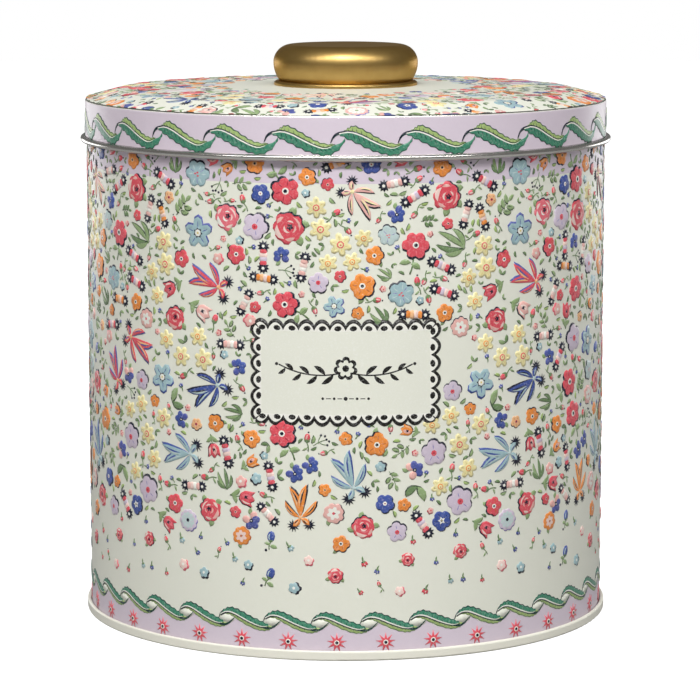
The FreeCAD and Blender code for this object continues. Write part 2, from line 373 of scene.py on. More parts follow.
@dataclass(frozen=True)
class DomeProfile:
    """Outer face of the lid's top: flat seat, crowned panel and sloping shoulder, as three cones."""

    seat_z: float = 162.89 * MM
    seat_radius: float = 24.1 * MM
    shoulder_radius: float = 70.42 * MM
    panel_drop: float = 1.2 * MM
    shoulder_drop: float = 2.6 * MM
    corner_radius: float = 80.225 * MM

    def height(self, tree: Tree, radius: Socket, sink: float = 0.0) -> Socket:
        """Adds nodes for the height of the face at a radius.

        Args:
            tree: Shader or geometry tree.
            radius: Socket with the radius.
            sink: Distance below the outer face.

        Returns:
            The height of the face.
        """
        seat = self.seat_z - sink
        panel_slope = self.panel_drop / (self.shoulder_radius - self.seat_radius)
        shoulder_slope = self.shoulder_drop / (self.corner_radius - self.shoulder_radius)
        lowest: Any = seat
        for start, slope, top in (
            (self.seat_radius, panel_slope, seat),
            (self.shoulder_radius, shoulder_slope, seat - self.panel_drop),
        ):
            past = add(tree, SUM, (radius, start), operation="SUBTRACT")
            fall = add(tree, SUM, (past, slope), operation="MULTIPLY")
            cone = add(tree, SUM, (top, fall), operation="SUBTRACT")
            lowest = add(tree, SUM, (lowest, cone), operation="MINIMUM")
        return lowest


@dataclass(frozen=True)
class PrintedLid(Finish):
    """Lid sheet: cream top and lavender skirt under varnish, bright bare tin on the curl and inside."""

    name: str = "printed_tinplate_lid"
    profile: DomeProfile = DomeProfile()
    half_sheet: float = 0.125 * MM
    skirt_middle: float = 80.22 * MM
    curl_top: float = 147.75 * MM
    corner_z: float = 158.55 * MM
    band_edge: float = 0.05 * MM

    def shader(self, tree: Tree, at: Coordinates) -> Socket:
        """Builds the shader: printed on the outer side of the sheet's middle, and bare on the other.

        Args:
            tree: Material tree.
            at: Coordinates of the piece.

        Returns:
            The shader.
        """
        on_top = add(tree, RANGE, (at.z, self.corner_z - self.band_edge, self.corner_z + self.band_edge))
        tones = {0: on_top, 6: Ink.LAVENDER.colour, 7: Ink.CREAM.colour}
        varnished = Varnish().over(tree, at, add(tree, MIX, tones, 2, data_type="RGBA"))
        middle = self.profile.height(tree, at.radius, self.half_sheet)
        over, outside, above_curl = (
            add(tree, SUM, pair, operation="GREATER_THAN")
            for pair in ((at.z, middle), (at.radius, self.skirt_middle), (at.z, self.curl_top))
        )
        outer = add(tree, SUM, (over, outside), operation="MAXIMUM")
        printed = add(tree, SUM, (outer, above_curl), operation="MULTIPLY")
        return BareTinplate().beside(tree, at, varnished, printed)


@dataclass(frozen=True)
class CreamLacquer(Finish):
    """Solid cream stoving lacquer of the base end: glossy, with faint rubbing where the seam meets the shelf."""

    name: str = "cream_stoving_lacquer"
    colour: str = "#ECEADC"
    worn: str = "#C9C4B6"
    worn_height: float = 0.35 * MM
    rub: float = 3 * MM

    def shader(self, tree: Tree, at: Coordinates) -> Socket:
        """Builds the shader, worn through to a duller tone in patches close to the shelf.

        Args:
            tree: Material tree.
            at: Coordinates of the piece.

        Returns:
            The shader.
        """
        high = add(tree, RANGE, (at.z, 0.0, self.worn_height))
        low = add(tree, SUM, (1.0, high), operation="SUBTRACT")
        patches = add(tree, RANGE, (at.grain(self.rub, 4.0), 0.45, 0.7))
        rubbed = add(tree, SUM, (low, patches), operation="MULTIPLY")
        tones = {0: rubbed, 6: linear(self.colour), 7: linear(self.worn)}
        return Varnish().over(tree, at, add(tree, MIX, tones, 2, data_type="RGBA"))


@dataclass(frozen=True)
class TurnedMetal(Finish):
    """Small plain turned parts: machining rings that draw reflections out, with duller patches."""

    name: str
    colour: str
    dull: str
    roughness: Point = (0.24, 0.38)
    groove: float = 0.15 * MM
    groove_depth: float = 0.005 * MM
    octaves: float = 1.0
    patch: float = 1.5 * MM
    edge: str = "#FFFFFF"
    coat: float = 0.0
    coat_roughness: float = 0.03

    def shader(self, tree: Tree, at: Coordinates) -> Socket:
        """Builds the shader.

        Args:
            tree: Material tree.
            at: Coordinates of the piece.

        Returns:
            The shader.
        """
        rings = add(tree, "ShaderNodeCombineXYZ", (at.radius, 0.0, at.z))
        lathe = add(tree, "ShaderNodeTexNoise", {0: rings, "Scale": 1 / self.groove, "Detail": self.octaves})
        tones = {0: at.grain(self.patch, 3.0), 6: linear(self.dull), 7: linear(self.colour)}
        low, high = self.roughness
        values = {
            "Base Color": add(tree, MIX, tones, 2, data_type="RGBA"),
            "Metallic": 1.0,
            "Roughness": add(tree, RANGE, {0: lathe, 3: low, 4: high}),
            "Normal": add(tree, "ShaderNodeBump", {"Height": lathe, "Distance": self.groove_depth}),
            "Specular Tint": linear(self.edge),
            "Coat Weight": self.coat,
            "Coat Roughness": self.coat_roughness,
        }
        return add(tree, "ShaderNodeBsdfPrincipled", values)


@dataclass(frozen=True)
class GoldLacquer(TurnedMetal):
    """Satin gold lacquer over spun metal: a warm reflection drawn out round the axis, with fine lathe lines."""

    name: str = "satin_gold_lacquer"
    colour: str = "#BF9F60"
    dull: str = "#AA8A4D"
    roughness: Point = (0.36, 0.46)
    groove: float = 0.22 * MM
    groove_depth: float = 0.003 * MM
    octaves: float = 2.0
    patch: float = 5 * MM
    edge: str = "#BFA479"
    coat: float = 0.3
    coat_roughness: float = 0.3


@dataclass(frozen=True)
class StudioPaper(Finish):
    """Pale matt backdrop paper, as white to the eye as a lit one, that throws back little light."""

    name: str = "pale_studio_floor"
    light: str = "#ADADAD"
    dark: str = "#A6A6A6"
    cloud: float = 0.2

    def shader(self, tree: Tree, at: Coordinates) -> Socket:
        """Builds the shader.

        Args:
            tree: Material tree.
            at: Coordinates of the floor.

        Returns:
            The shader.
        """
        tones = {0: at.grain(self.cloud), 6: linear(self.dark), 7: linear(self.light)}
        values = {
            "Base Color": add(tree, MIX, tones, 2, data_type="RGBA"),
            "Roughness": 0.9,
            "Specular IOR Level": 0.1,
            "Emission Color": WHITE_LIGHT,
            "Emission Strength": add(tree, "ShaderNodeLightPath", (), "Is Camera Ray"),
        }
        return add(tree, "ShaderNodeBsdfPrincipled", values)


# ---- Outlines of the print, in millimetres ------------------------------------------------------


def disc(
    radius: float, count: int = 8, centre: Point = (0.0, 0.0), squash: float = 1.0, turn: float = 0.0
) -> Outline:
    """Outline of a dot or an oval.

    Args:
        radius: Half its length.
        count: Number of points.
        centre: Its middle.
        squash: Its width as a share of its length.
        turn: Direction of its length, in degrees.

    Returns:
        Points in order, the inside on their left.
    """
    c, s = math.cos(math.radians(turn)), math.sin(math.radians(turn))
    made = []
    for i in range(count):
        a = math.tau * i / count
        x, y = radius * math.cos(a), radius * squash * math.sin(a)
        made.append((centre[0] + x * c - y * s, centre[1] + x * s + y * c))
    return made


def petals(
    radius: float,
    lobes: int,
    dip: float,
    points: int = 4,
    turn: float = 0.0,
    centre: Point = (0.0, 0.0),
    peak: float = 0.6,
    uneven: float = 0.0,
) -> Outline:
    """Outline of a ring of petals.

    Args:
        radius: From the middle to the tip of a petal.
        lobes: Number of petals.
        dip: Depth of the notch between petals, as a share of the radius.
        points: Points for each petal.
        turn: Direction of the first notch, in degrees.
        centre: The middle.
        peak: Low for round petals, above one for pointed ones.
        uneven: How much petals differ in length, as a share.

    Returns:
        Points in order, the inside on their left.
    """
    made = []
    for i in range(lobes * points):
        share = (i % points) / points
        lift = math.sin(math.pi * share) ** peak if share else 0.0
        reach = radius * (1 - dip + dip * lift)
        reach *= 1 + uneven * math.sin(2.4 * (i // points) + 1.0)
        a = math.radians(turn) + math.tau * i / (lobes * points)
        made.append((centre[0] + reach * math.cos(a), centre[1] + reach * math.sin(a)))
    return made


def spikes(outer: float, inner: float, count: int, centre: Point = (0.0, 0.0), turn: float = 0.0) -> Outline:
    """Outline of a star or a frill: points at the outer radius and notches at the inner one.

    Args:
        outer: Radius of the points.
        inner: Radius of the notches.
        count: Number of points.
        centre: The middle.
        turn: Direction of the first point, in degrees.

    Returns:
        Points in order, the inside on their left.
    """
    made = []
    for i in range(2 * count):
        a = math.radians(turn) + math.pi * i / count
        reach = inner if i % 2 else outer
        made.append((centre[0] + reach * math.cos(a), centre[1] + reach * math.sin(a)))
    return made


def spine(start: Point, end: Point, bend: float, shares: Iterable[float]) -> list[tuple[Point, Point]]:
    """Points and left-hand normals along a bowed line.

    Args:
        start: First end.
        end: Last end.
        bend: How far the middle bows to the left.
        shares: Where along the line.

    Returns:
        A point and its normal for each share.
    """
    dx, dy = end[0] - start[0], end[1] - start[1]
    length = math.hypot(dx, dy)
    nx, ny = -dy / length, dx / length
    made = []
    for t in shares:
        bow = 4 * bend * t * (1 - t)
        lean = 4 * bend * (1 - 2 * t) / length
        px, py = start[0] + dx * t + nx * bow, start[1] + dy * t + ny * bow
        ax, ay = nx - lean * dx / length, ny - lean * dy / length
        size = math.hypot(ax, ay)
        made.append(((px, py), (ax / size, ay / size)))
    return made


def blade(start: Point, end: Point, width: float, bend: float = 0.0, points: int = 3, fat: float = 0.8) -> Outline:
    """Outline of a leaf, petal or brush stroke with two pointed ends.

    Args:
        start: First tip.
        end: Last tip.
        width: Greatest width.
        bend: How far the middle bows to the left.
        points: Points along each side.
        fat: Low for blunt ends, high for long points.

    Returns:
        Points in order, the inside on their left.
    """
    shares = [(i + 1) / (points + 1) for i in range(points)]
    line = spine(start, end, bend, shares)
    half = [width / 2 * math.sin(math.pi * t) ** fat for t in shares]
    right = [(p[0] - n[0] * h, p[1] - n[1] * h) for (p, n), h in zip(line, half)]
    left = [(p[0] + n[0] * h, p[1] + n[1] * h) for (p, n), h in zip(line, half)]
    return [start, *right, end, *reversed(left)]


def arc(angle: float, reach: float, sweep: float, width: float) -> Outline:
    """Outline of a crescent about the origin, with its middle at an angle and its ends a sweep to either side."""
    bow = reach * (1 - math.cos(math.radians(sweep)))
    return blade(polar(reach, angle - sweep), polar(reach, angle + sweep), width, -bow, 3)


def stem(start: Point, end: Point, width: float, bend: float = 0.0, points: int = 2) -> Outline:
    """Outline of an even line with blunt ends, such as a stalk.

    Args:
        start: First end.
        end: Last end.
        width: Its width.
        bend: How far the middle bows to the left.
        points: Points between the ends on each side.

    Returns:
        Points in order, the inside on their left.
    """
    line = spine(start, end, bend, [i / (points + 1) for i in range(points + 2)])
    right = [(p[0] - n[0] * width / 2, p[1] - n[1] * width / 2) for p, n in line]
    left = [(p[0] + n[0] * width / 2, p[1] + n[1] * width / 2) for p, n in line]
    return [*right, *reversed(left)]


def placed(outline: Outline, at: Point, turn: float = 0.0, size: float = 1.0) -> Outline:
    """An outline scaled, turned by degrees about the origin, and moved."""
    c, s = math.cos(math.radians(turn)) * size, math.sin(math.radians(turn)) * size
    return [(at[0] + x * c - y * s, at[1] + x * s + y * c) for x, y in outline]


def polar(radius: float, degrees: float) -> Point:
    """Point at a radius and an angle from the x axis."""
    return radius * math.cos(math.radians(degrees)), radius * math.sin(math.radians(degrees))


# ---- Motifs -------------------------------------------------------------------------------------


@dataclass(frozen=True)
class Layer:
    """One flat shape of ink. Later layers of a motif print over earlier ones."""

    outline: Outline
    ink: Ink
    lift: float = 0.0
    crown: float = 0.0


class Family(Enum):
    """Groups of motifs that become one piece each."""

    BOWS = "bows"
    ROSES = "roses"
    ANEMONES = "anemones"
    STAR_FLOWERS = "star_flowers"
    BLOSSOMS = "blossoms"
    DAFFODILS = "daffodils"
    TULIPS = "tulips"
    CRACKERS = "crackers"
    FLORETS = "florets"
    FOLIAGE = "foliage"
    BUDS = "buds"


@dataclass
class Motif:
    """A small raised picture, made of layers of ink."""

    family: Family
    layers: list[Layer]
    name: str = ""
    rise: float = 0.19
    lip: float = 0.06
    tuck: float = 0.1
    soft: float = 0.34
    inner: Outline = field(default_factory=list)
    cells: np.ndarray = field(default_factory=lambda: np.zeros((0, 2)), repr=False)

    def triangles(self) -> tuple[list[Point], list[tuple[int, int, int]], list[int], dict[tuple[int, int], int]]:
        """Merges the layers into one flat mesh.

        Returns:
            Points, triangles, the layer seen in each triangle, and the layer beside each edge of the silhouette.
        """
        points: list[Vector] = []
        faces: list[list[int]] = []
        edges: list[tuple[int, int]] = []
        for layer in self.layers:
            faces.append(list(range(len(points), len(points) + len(layer.outline))))
            points += [Vector(p) for p in layer.outline]
        for layer in self.layers:
            if layer.crown:
                inset = inset_loop(layer.outline, layer.crown)
                first = len(points)
                points += [Vector(p) for p in inset]
                count = len(inset)
                edges += [(first + i, first + (i + 1) % count) for i in range(count)]
        points += [Vector(p) for p in self.inner]
        coords, _, cells, _, _, owners = delaunay_2d_cdt(points, edges, faces, 1, 1e-4)
        kept = [(tuple(c), max(o)) for c, o in zip(cells, owners) if o and len(c) == 3]
        rim: dict[tuple[int, int], int] = {}
        for cell, owner in kept:
            for a, b in zip(cell, cell[1:] + cell[:1]):
                if rim.pop((b, a), None) is None:
                    rim[(a, b)] = owner
        return [(v[0], v[1]) for v in coords], [c for c, _ in kept], [o for _, o in kept], rim

    def mesh(self) -> bpy.types.Mesh:
        """Builds the raised mesh: a crowned top, a short skirt sunk in the sheet, and a closed underside.

        Returns:
            The mesh, with the ink of each face in an attribute.
        """
        points, cells, owners, rim = self.triangles()
        plan = np.array(points)
        height = self.heights(plan, cells, owners, list(rim))
        vertices = [(x * MM, y * MM, h * MM) for (x, y), h in zip(points, height)]
        faces: list[tuple[int, ...]] = list(cells)
        inks = [self.layers[o].ink.colour for o in owners]
        floor, base, lowest = under_side(points, list(rim))
        sunk = {i: len(vertices) + n for n, i in enumerate(base)}
        vertices += [(x * MM, y * MM, -self.tuck * MM) for x, y in lowest]
        for (a, b), owner in rim.items():
            faces.append((a, sunk[a], sunk[b], b))
            inks.append(self.layers[owner].ink.colour)
        first = len(points)
        for a, b, c in floor:
            faces.append((first + c, first + b, first + a))
            inks.append(self.layers[0].ink.colour)
        made = bpy.data.meshes.new(self.name)
        made.from_pydata(vertices, [], faces)
        paint = made.attributes.new("ink", "FLOAT_COLOR", "FACE")
        paint.data.foreach_set("color", np.array(inks, np.float32).ravel())
        made.shade_smooth()
        self.cells = covered(plan, cells)
        return made

    def heights(
        self, plan: np.ndarray, cells: Sequence[Sequence[int]], owners: Sequence[int], rim: Sequence[tuple[int, int]]
    ) -> np.ndarray:
        """Heights of the points: a low lip at the silhouette and crowned inside it.

        Args:
            plan: Points of the flat mesh.
            cells: Its triangles.
            owners: Layer seen in each triangle.
            rim: Edges of the silhouette.

        Returns:
            Height of each point above the sheet.
        """
        near = rim_distance(plan, rim)
        lift, count = np.zeros(len(plan)), np.zeros(len(plan))
        for cell, owner in zip(cells, owners):
            for i in cell:
                lift[i] += self.layers[owner].lift
                count[i] += 1
        return self.lip + (self.rise + lift / np.maximum(count, 1)) * (1 - np.exp(-near / self.soft))


def rim_distance(plan: np.ndarray, rim: Sequence[tuple[int, int]]) -> np.ndarray:
    """Distance of every point from the nearest edge of the silhouette.

    Args:
        plan: Points of the flat mesh.
        rim: Edges of its silhouette.

    Returns:
        The distance for each point.
    """
    near = np.full(len(plan), 1e9)
    for a, b in rim:
        start, along = plan[a], plan[b] - plan[a]
        share = np.clip(((plan - start) @ along) / max(along @ along, 1e-12), 0, 1)
        near = np.minimum(near, np.linalg.norm(plan - start - share[:, None] * along, axis=1))
    return near


def under_side(
    points: Sequence[Point], rim: Sequence[tuple[int, int]], pitch: float = 4.5
) -> tuple[list[tuple[int, ...]], list[int], list[Point]]:
    """Flat triangles that close a motif underneath, few but close enough together to follow the sheet.

    Args:
        points: Points of the flat mesh.
        rim: Edges of its silhouette.
        pitch: Spacing of the points added inside a large motif.

    Returns:
        Triangles, the rim point that each of the first new points lies under, and the new points.
    """
    base = sorted({i for edge in rim for i in edge})
    place = {i: n for n, i in enumerate(base)}
    plan = [points[i] for i in base]
    low, high = np.min(plan, 0), np.max(plan, 0)
    inner = [(x, y) for x in np.arange(low[0], high[0], pitch)[1:] for y in np.arange(low[1], high[1], pitch)[1:]]
    everything = plan + [(float(x), float(y)) for x, y in inner]
    edges = [(place[a], place[b]) for a, b in rim]
    _, _, cells, origin, _, _ = delaunay_2d_cdt([Vector(p) for p in everything], edges, [], 1, 1e-5)
    first = [sources[0] if sources else -1 for sources in origin]
    kept = [tuple(first[i] for i in cell) for cell in cells]
    return [cell for cell in kept if len(set(cell)) == 3 and min(cell) >= 0], base, everything


def inset_loop(outline: Outline, share: float) -> Outline:
    """Every other point of an outline, drawn in towards its middle.

    Args:
        outline: The outline.
        share: Share of its size that is left.

    Returns:
        The smaller outline.
    """
    some = outline[::2] if len(outline) > 11 else outline
    cx = sum(p[0] for p in outline) / len(outline)
    cy = sum(p[1] for p in outline) / len(outline)
    return [(cx + (x - cx) * share, cy + (y - cy) * share) for x, y in some]


def covered(plan: np.ndarray, cells: Sequence[Sequence[int]], pitch: float = 0.3) -> np.ndarray:
    """Points on a fine grid that lie inside a flat mesh.

    Args:
        plan: Its points.
        cells: Its triangles.
        pitch: Spacing of the grid.

    Returns:
        The points inside.
    """
    low, high = plan.min(0) - pitch, plan.max(0) + pitch
    xs, ys = (np.arange(low[i], high[i], pitch) for i in (0, 1))
    grid = np.stack(np.meshgrid(xs, ys), -1).reshape(-1, 2)
    inside = np.zeros(len(grid), bool)
    for a, b, c in cells:
        signs = []
        for p, q in ((a, b), (b, c), (c, a)):
            edge = plan[q] - plan[p]
            signs.append(edge[0] * (grid[:, 1] - plan[p][1]) - edge[1] * (grid[:, 0] - plan[p][0]))
        inside |= (np.minimum.reduce(signs) >= -0.02) | (np.maximum.reduce(signs) <= 0.02)
    return grid[inside]


def creases(
    count: int, first: float, low: float, high: float, width: float, ink: Ink, lift: float
) -> list[Layer]:
    """A ring of straight strokes that run out from a flower's eye.

    Args:
        count: Number of strokes.
        first: Direction of the first, in degrees.
        low: Where they start.
        high: Where they end.
        width: Their greatest width.
        ink: Their ink.
        lift: How far they stand above the petals.

    Returns:
        A layer for each stroke.
    """
    angles = [first + 360 // count * i for i in range(count)]
    return [Layer(blade(polar(low, angle), polar(high, angle), width), ink, lift) for angle in angles]


class MotifBook:
    """Draws every motif of the floral print, each a plain small garden flower or ribbon."""

    grown: float = 1.07

    def anemone(self, petal: Ink, crease: Ink, size: float = 1.0, stalk: bool = False) -> Motif:
        """Six-petalled bloom with a dark shadow line, creased petals and a ringed eye.

        Args:
            petal: Ink of the petals.
            crease: Ink of the creases in the petals.
            size: Its scale.
            stalk: Whether it has a stalk and leaves.

        Returns:
            The motif.
        """
        layers = []
        if stalk:
            layers += [
                Layer(stem((0.9, -2.8), (3.0, -8.0), 0.46, 0.4, 3), Ink.MOSS, -0.1),
                Layer(blade((1.7, -5.3), (4.9, -5.2), 1.9, 0.3, 3), Ink.SAGE, -0.04, 0.5),
                Layer(blade((1.6, -4.9), (-1.3, -7.0), 1.7, -0.3, 3), Ink.SAGE, -0.04, 0.5),
                Layer(blade((2.0, -5.3), (4.4, -5.1), 0.26, 0.1, 1), Ink.MOSS),
            ]
        layers += [
            Layer(petals(4.05, 6, 0.24, centre=(0.46, -0.44), uneven=0.04), Ink.NAVY),
            Layer(petals(3.95, 6, 0.24, uneven=0.05), petal, crown=0.8),
        ]
        for i in range(6):
            layers.append(Layer(blade(polar(1.4, 60 * i + 3), polar(3.1, 60 * i + 8), 0.34), crease, -0.05))
        layers += [
            Layer(disc(1.0, 8), Ink.WHITE, 0.05),
            Layer(disc(0.58, 6, (0.05, 0.0)), Ink.NAVY, 0.1),
        ]
        return scaled(Motif(Family.ANEMONES, layers), size)

    def rose(self, outer: Ink, inner: Ink, light: Ink, size: float, leaves: Sequence[float]) -> Motif:
        """Ruffled rose seen from above: crescents of lighter petals round a dark heart, with leaves behind.

        Args:
            outer: Ink of the outer petals.
            inner: Ink of the inner ones.
            light: Ink of the lightest parts.
            size: Its scale.
            leaves: Direction of each leaf, in degrees.

        Returns:
            The motif.
        """
        layers = []
        for angle in leaves:
            tip = polar(5.3, angle)
            layers.append(Layer(blade(polar(2.6, angle + 12), tip, 2.0, 0.2), Ink.SAGE, -0.08, 0.5))
        layers += [
            Layer(petals(3.8, 8, 0.13, 3, centre=(0.3, -0.34), uneven=0.05), Ink.NAVY),
            Layer(petals(3.8, 8, 0.13, 3, uneven=0.05), outer, crown=0.84),
        ]
        crescents = (
            (100, 2.75, 44, 1.25, light),
            (28, 2.8, 24, 0.85, inner),
            (175, 2.75, 26, 0.9, inner),
            (280, 2.9, 40, 0.55, inner),
        )
        for angle, reach, sweep, width, ink in crescents:
            layers.append(Layer(arc(angle, reach, sweep, width), ink, 0.03))
        layers.append(Layer(petals(2.1, 7, 0.1, 3, 10, (0.05, -0.35)), outer, 0.03))
        heart = ((110, 1.25, 60, 0.6, light), (235, 1.5, 42, 0.5, inner), (330, 1.5, 34, 0.42, light))
        for angle, reach, sweep, width, ink in heart:
            layers.append(Layer(placed(arc(angle, reach, sweep, width), (0.05, -0.35)), ink, 0.05))
        layers += [
            Layer(spikes(0.95, 0.55, 5, (0.1, -0.55), 20), Ink.NAVY, -0.02),
            Layer(disc(0.26, 4, (0.3, -0.35)), Ink.CRIMSON),
        ]
        return scaled(Motif(Family.ROSES, layers), size)

    def ruffle(self, outer: Ink, inner: Ink, eye: Ink, size: float = 1.0) -> Motif:
        """Frilled bloom with a pale star inside, and a leaf at its side.

        Args:
            outer: Ink of the outer petals.
            inner: Ink of the inner ones.
            eye: Ink of the eye.
            size: Its scale.

        Returns:
            The motif.
        """
        shadow = Ink.RUST if outer is Ink.ORANGE else Ink.NAVY
        layers = [
            Layer(blade(polar(2.2, 200), polar(4.4, 212), 1.5, -0.2), Ink.SAGE, -0.14, 0.5),
            Layer(petals(3.3, 8, 0.14, 3, 0, (0.24, -0.3), uneven=0.04), shadow),
            Layer(petals(3.3, 8, 0.14, 3, uneven=0.04), outer, crown=0.84),
            Layer(petals(2.2, 6, 0.36, 3, turn=10, peak=1.0), inner, 0.03),
            Layer(disc(0.5, 5), eye, 0.04),
            Layer(disc(0.2, 4, (0.35, -0.3)), Ink.NAVY),
        ]
        return scaled(Motif(Family.BLOSSOMS, layers), size)

    def primrose(self, petal: Ink, eye: Ink, lobes: int, size: float, leaf: bool = True) -> Motif:
        """Simple round-petalled bloom with a ringed eye.

        Args:
            petal: Ink of the petals.
            eye: Ink of the eye.
            lobes: Number of petals.
            size: Its scale.
            leaf: Whether it has a leaf.

        Returns:
            The motif.
        """
        layers = []
        if leaf:
            layers.append(Layer(blade(polar(1.8, 275), polar(4.2, 262), 1.3, 0.2), Ink.SAGE, -0.14, 0.5))
        layers += [
            Layer(petals(2.9, lobes, 0.22, centre=(0.34, -0.28), uneven=0.05), Ink.NAVY),
            Layer(petals(2.9, lobes, 0.22, uneven=0.05), petal, crown=0.78),
            *creases(lobes, 36, 1.0, 2.3, 0.26, Ink.RUST, -0.03),
            Layer(disc(0.75, 6), eye, 0.03),
            Layer(disc(0.42, 5), Ink.NAVY, 0.06),
        ]
        return scaled(Motif(Family.BLOSSOMS, layers), size)

    def star_flower(self, petal: Ink, edge: Ink, size: float = 1.0) -> Motif:
        """Five-pointed bell flower with a dark edge on one side of every petal.

        Args:
            petal: Ink of the petals.
            edge: Ink of the dark edge.
            size: Its scale.

        Returns:
            The motif.
        """
        layers = [
            Layer(petals(4.5, 5, 0.42, 4, 18, (0.28, 0.22), 0.9), edge, crown=0.0),
            Layer(petals(4.2, 5, 0.42, 4, 18, peak=0.9), petal, crown=0.72),
        ]
        for i in range(5):
            angle = 54 + 72 * i
            layers.append(Layer(blade(polar(1.3, angle), polar(3.2, angle), 0.24), edge, -0.04))
        layers += [
            Layer(spikes(1.45, 1.0, 7, turn=8), Ink.NAVY),
            Layer(disc(0.95, 7), Ink.WHITE, 0.05),
            Layer(disc(0.35, 5), Ink.STRAW, 0.08),
        ]
        return scaled(Motif(Family.STAR_FLOWERS, layers), size)

    def forget_me_not(self, petal: Ink, eye: Ink, edge: Ink, size: float) -> Motif:
        """Small five-petalled floret with a shadow line.

        Args:
            petal: Ink of the petals.
            eye: Ink of the eye.
            edge: Ink of the dark edge.
            size: Its scale.

        Returns:
            The motif.
        """
        layers = [
            Layer(petals(2.1, 5, 0.24, 3, 8, (0.4, -0.34)), edge),
            Layer(petals(1.88, 5, 0.24, 3), petal, 0.0, 0.6),
            Layer(disc(0.55, 5), eye, 0.04),
        ]
        return scaled(Motif(Family.FLORETS, layers, rise=0.17), size)

    def daffodil(self, petal: Ink, cup: Ink, size: float) -> Motif:
        """Six pointed petals round a ringed trumpet.

        Args:
            petal: Ink of the petals.
            cup: Ink of the trumpet.
            size: Its scale.

        Returns:
            The motif.
        """
        layers = [
            Layer(petals(3.3, 6, 0.40, 4, peak=0.8, uneven=0.04), petal, crown=0.7),
            *creases(6, 30, 1.1, 2.6, 0.2, Ink.STRAW, -0.04),
            Layer(disc(1.05, 8), cup, 0.1),
            Layer(disc(0.72, 7), Ink.YELLOW, 0.12),
            Layer(disc(0.3, 4, (0.1, 0.1)), Ink.RUST, 0.05),
        ]
        return scaled(Motif(Family.DAFFODILS, layers), size)

    def viola(self, petal: Ink, eye: Ink, edge: Ink, size: float) -> Motif:
        """Five broad pale petals with a broken dark outline and a bright eye.

        Args:
            petal: Ink of the petals.
            eye: Ink of the eye.
            edge: Ink of the dark edge.
            size: Its scale.

        Returns:
            The motif.
        """
        layers = [
            Layer(petals(3.8, 5, 0.22, 5, 30, (0.34, 0.26)), edge),
            Layer(petals(3.62, 5, 0.22, 5, 30), petal, crown=0.78),
            *(creases(5, 66, 1.0, 2.5, 0.22, Ink.VIOLET, -0.04)[i] for i in (0, 2, 3)),
            Layer(disc(0.85, 7), eye, 0.08),
            Layer(disc(0.35, 4), Ink.CRIMSON, 0.1),
        ]
        return scaled(Motif(Family.ANEMONES, layers), size)

    def pansy(self, upper: Ink, lower: Ink, size: float) -> Motif:
        """Two colours of petal round a dark eye, with a leaf.

        Args:
            upper: Ink of the upper petals.
            lower: Ink of the lower petals.
            size: Its scale.

        Returns:
            The motif.
        """
        layers = [Layer(blade(polar(1.8, 250), polar(4.2, 240), 1.5, 0.3), Ink.SAGE, -0.14, 0.5)]
        ring = ((35, upper, 1.75), (100, upper, 1.75), (-40, lower, 1.85), (215, lower, 1.9), (165, upper, 1.6))
        for angle, ink, reach in ring:
            layers.append(Layer(disc(1.45, 9, polar(reach, angle), 0.86, angle), ink, 0.03, 0.6))
        layers += [
            Layer(disc(0.7, 6), Ink.NAVY, 0.05),
            Layer(disc(0.3, 4), Ink.WHITE, 0.08),
        ]
        return scaled(Motif(Family.BLOSSOMS, layers), size)

    def bluebell(self, petal: Ink, size: float) -> Motif:
        """Deep blue round bloom with pale stamens.

        Args:
            petal: Ink of the petals.
            size: Its scale.

        Returns:
            The motif.
        """
        layers = [
            Layer(petals(3.75, 5, 0.2, 5, centre=(0.34, -0.3), uneven=0.05), Ink.NAVY),
            Layer(petals(3.7, 5, 0.2, 5, uneven=0.05), petal, crown=0.78),
        ]
        layers += [
            *(Layer(stem(polar(1.2, 36 + 72 * i), polar(2.9, 30 + 72 * i), 0.16), Ink.NAVY, -0.05) for i in range(5)),
            Layer(spikes(1.5, 0.8, 5, turn=20), Ink.WHITE, 0.04),
            Layer(disc(0.5, 5), Ink.NAVY, 0.05),
            Layer(disc(0.22, 4), Ink.STRAW, 0.06),
        ]
        return scaled(Motif(Family.STAR_FLOWERS, layers), size)

    def scabious(self, outer: Ink, inner: Ink, eye: Ink, size: float) -> Motif:
        """Frilled round bloom with a paler middle and a green eye.

        Args:
            outer: Ink of the outer petals.
            inner: Ink of the inner ones.
            eye: Ink of the eye.
            size: Its scale.

        Returns:
            The motif.
        """
        layers = [
            Layer(petals(3.5, 10, 0.12, 3, 0, (0.28, -0.26)), Ink.VIOLET),
            Layer(petals(3.5, 10, 0.12, 3), outer, crown=0.86),
        ]
        layers += [
            Layer(petals(2.7, 10, 0.16, 2, turn=12), inner, 0.03),
            *creases(8, 0, 1.0, 2.2, 0.22, outer, -0.03),
            Layer(disc(0.62, 6), eye, 0.06),
        ]
        return scaled(Motif(Family.ROSES, layers), size)

    def cornflower(self, petal: Ink, mark: Ink, size: float) -> Motif:
        """Ruffled pale bloom with a broken shadow line and bright stamens.

        Args:
            petal: Ink of the petals.
            mark: Ink of the stamens.
            size: Its scale.

        Returns:
            The motif.
        """
        layers = [
            Layer(petals(3.8, 6, 0.22, 4, 12, (0.34, -0.32), 0.5, 0.05), Ink.NAVY),
            Layer(petals(3.7, 6, 0.22, 4, 12, (0, 0), 0.5, 0.05), petal, crown=0.8),
            *creases(6, 42, 1.2, 3.0, 0.3, Ink.PALE_SKY, -0.02),
            *creases(3, 12, 0.9, 2.7, 0.2, Ink.VIOLET, -0.03),
        ]
        for place in ((-0.5, 0.25), (0.15, -0.35), (0.5, 0.35)):
            layers.append(Layer(disc(0.4, 5, place, 0.7, 40), mark, 0.06))
        return scaled(Motif(Family.STAR_FLOWERS, layers), size)

